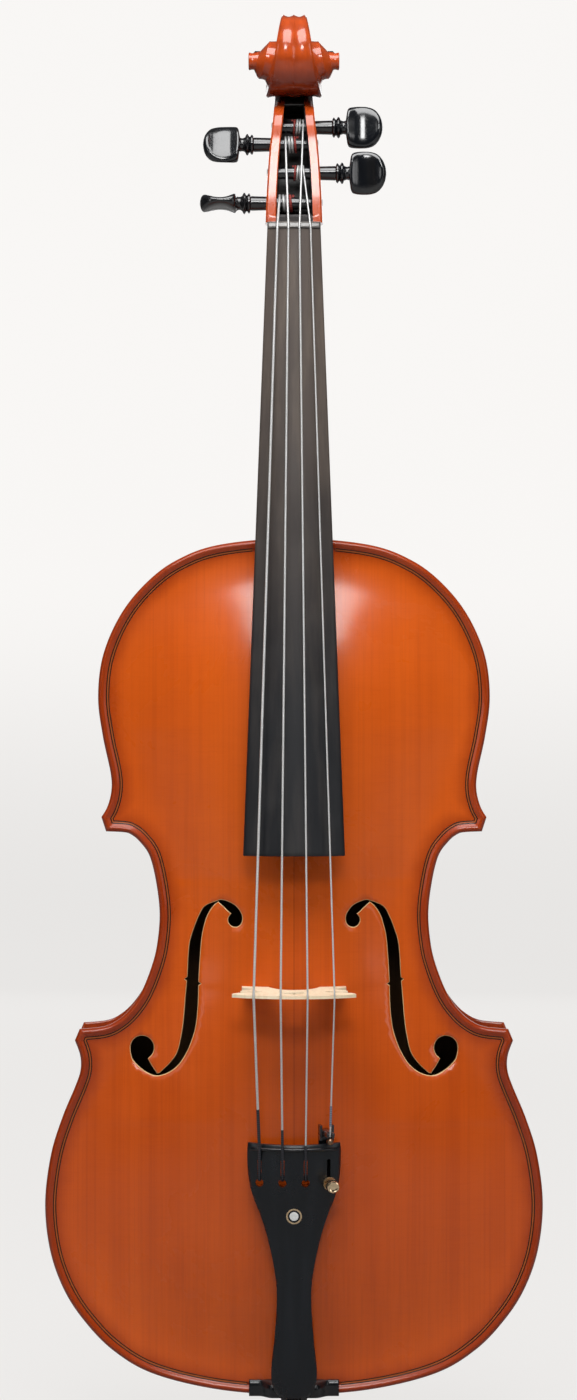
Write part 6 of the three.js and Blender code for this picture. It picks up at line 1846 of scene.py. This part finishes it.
def make_button():
    """A lathe profile: (r cos a, r sin a, along)."""
    profile = smooth([
        (0.02, 0.0), (5.4, 0.0), (6.6, 0.35), (7.15, 1.2), (7.2, 3.6), (7.0, 6.4), (6.3, 8.4), (5.2, 10.0),
        (4.5, 11.4), (4.4, 13.2), (4.5, 15.2), (5.4, 16.2), (6.75, 16.6), (6.9, 17.6), (6.9, 19.2),
    ], 70)
    profile = np.vstack([profile, [(4.0, 19.5), (3.5, 34.5), (0.02, 34.5)]])
    turn = circle(56)[None]
    radius, along = profile[:, :1], profile[:, 1:]
    shell = skin(at(radius * np.cos(turn), radius * np.sin(turn), along))
    piece("turned_end_button", shell, fitting_ebony, "end_button", crisp=40)


def make_tailgut():
    """A cord from inside the tailpiece, over the saddle, half round the button and back."""
    radius, apart_half, inside = cord_radius, 4.4, 12.0
    lay = button_neck_radius + radius + 0.05
    middle = 8 + 7.2 - button_neck_radius + 2 * radius
    entry = float(tail_under(tail_end_along)) + tail_side / 2 + radius / 2
    saddle_top = rib_half + saddle_rise
    start_height = entry + inside * np.sin(tail_slope)
    start_along = tail_end_along + inside * np.cos(tail_slope)
    drop = np.array([
        (apart_half, start_height, start_along), (apart_half, entry, tail_end_along),
        (apart_half, saddle_top + 2.2 * radius, body_bottom - radius / 2),
        (4.9, saddle_top - 1, body_bottom - 1.6 * radius),
        (mix(apart_half, lay, 2 / 3), rib_half, body_bottom - 2 * radius), (lay, radius, middle),
    ])
    left, right = (rounded(at(*(drop * (side, 1, 1)).T), 0.003) for side in (-1, 1))
    turn = np.linspace(0, PI, 30)[1:-1]
    round_button = at(-lay * np.cos(turn), -lay * np.sin(turn), middle)
    path = np.vstack([left, round_button, right[::-1]])
    piece("tailgut_cord", skin(tube(path, radius * MM, 16)), nylon, "tailgut", crisp=60)


make_saddle()
make_button()
make_tailgut()

# %% [markdown]
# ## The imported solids' finishes
# Linings, neck and end block, bass bar and sound post stay as packed, in bare spruce: they are
# seen only through the sound holes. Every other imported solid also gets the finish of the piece
# that stands for it, so that nothing is left plain.

# %% Finishes by slot
slot_finishes = {
    "belly_varnish": belly_varnish, "back_varnish": back_varnish, "rib_varnish": rib_varnish,
    "neck_maple": neck_varnish, "inner_wood": bare_spruce, "purfling": purfling_strips,
    "ebony": fitting_ebony, "board_ebony": board_ebony, "bridge_maple": bridge_wood,
    "string_metal": string_steel, "silk": dark_silk, "gilt_metal": gilt, "bronze": bronze,
    "black_metal": black_lacquer, "pearl": pearl, "nylon": nylon,
}
dressed = 0
for packed in frame["nodes"].values():
    for held in packed.material_slots:
        label = held.material.name.split(".")[0]
        if label in slot_finishes:
            held.material = slot_finishes[label]
            dressed += 1
print("packed solids with a finish:", dressed)

# %% [markdown]
# ## The studio
# The photograph has a pale room and one very large soft light above and in front. A smaller
# lamp in front gives the head and the pegs their highlights, two weak ones fill the sides, and
# one lights the back. The floor curves up into the backdrop all round.


# %% Light, floor and camera
def backdrop_material():
    """Near white to the eye, and a plain pale floor to the light, so that it keeps the shadow."""
    made, tree, shader = finish("backdrop", rough=0.9, specular=0.0)
    shader.inputs["Base Color"].default_value = (0.34, 0.335, 0.33, 1)
    near = noise(tree, stretched(tree, (0.8, 0.8, 0.8)), detail=1.0)
    pale = blend_colours(tree, near, linear(255, 253, 251), linear(253, 251, 249))
    glow = node(tree, "Emission", {"Color": pale, "Strength": 1.0})
    up = band(tree, place_in(tree, "Z"), 0.0, 0.6, 0.8, 0.95)
    seen = sums(tree, "MULTIPLY", node(tree, "LightPath").outputs["Is Camera Ray"], up)
    mixed = node(tree, "MixShader", {0: seen, 1: shader.outputs[0], 2: glow.outputs[0]})
    feed(tree, tree.nodes["Material Output"], {"Surface": mixed.outputs[0]})
    return made


def make_studio():
    """A round floor whose edge curves up into a wall, so that it is the same from every side:
    rings of radius 4 + 4 sin(t) at height 4 - 4 cos(t), outside a flat middle."""
    turn, round_way = np.linspace(0, PI / 2, 33), circle(96)
    reach = np.concatenate([[0.01, 1, 2, 3], 4 + 4 * np.sin(turn)])[:, None]
    height = np.concatenate([np.zeros(4), 4 - 4 * np.cos(turn)])[:, None]
    grid = np.broadcast_arrays(reach * np.cos(round_way), reach * np.sin(round_way), height)
    grid = np.stack(grid, axis=-1)
    mesh = bpy.data.meshes.new("backdrop")
    mesh.from_pydata(grid.reshape(-1, 3).tolist(), [], quads(*grid.shape[:2]))
    mesh.polygons.foreach_set("use_smooth", np.ones(len(mesh.polygons), bool))
    mesh.materials.append(backdrop_material())
    backdrop = bpy.data.objects.new("backdrop", mesh)
    bpy.context.scene.collection.objects.link(backdrop)


def make_light(name, place, target, size, power):
    """A flat rectangular lamp of so many watts that faces its target."""
    data = bpy.data.lights.new(name, "AREA")
    data.shape, data.size, data.size_y = "RECTANGLE", *size
    data.energy = power
    lamp = bpy.data.objects.new(name, data)
    lamp.location = place
    lamp.rotation_euler = (Vector(target) - Vector(place)).to_track_quat("-Z", "Y").to_euler()
    bpy.context.scene.collection.objects.link(lamp)


make_studio()
make_light("overhead", (-0.1, -0.95, 2.2), (0, -0.1, 0.45), (2.0, 1.4), 54)
make_light("front_top", (0.05, -2.35, 1.65), (0, 0, 0.5), (0.8, 0.45), 17)
make_light("fill_left", (-1.9, -1.5, 1.0), (0, 0, 0.4), (0.7, 1.2), 4)
make_light("fill_right", (2.0, -1.4, 0.9), (0, 0, 0.4), (0.7, 1.2), 5)
make_light("behind", (0.3, 2.8, 0.9), (0, 0, 0.35), (2.6, 1.4), 14)
world = bpy.data.worlds.new("room")
world.use_nodes = True
room = world.node_tree
room.nodes["Background"].inputs["Color"].default_value = (1, 0.99, 0.98, 1)
direct = node(room, "LightPath").outputs["Is Camera Ray"]
room.links.new(band(room, direct, 0.0, 1.0, 0.07, 0.97), room.nodes["Background"].inputs["Strength"])
bpy.context.scene.world = world

camera_data = bpy.data.cameras.new("camera")
camera_data.lens, camera_data.sensor_width, camera_data.sensor_fit = 108.6, 36, "AUTO"
camera = bpy.data.objects.new("camera", camera_data)
camera.location = (-0.0026, -2.0235, 0.3463)
camera.rotation_euler = (PI / 2, 0, 0)
bpy.context.scene.collection.objects.link(camera)
bpy.context.scene.camera = camera
bpy.context.scene.view_settings.view_transform = "Standard"

# %% [markdown]
# ## Last step
# Every mesh that is shown has its data brought up to date.

# %% Bringing the shown meshes up to date
for shown in bpy.context.scene.objects:
    if shown.type == "MESH" and not shown.hide_render:
        shown.data.update()
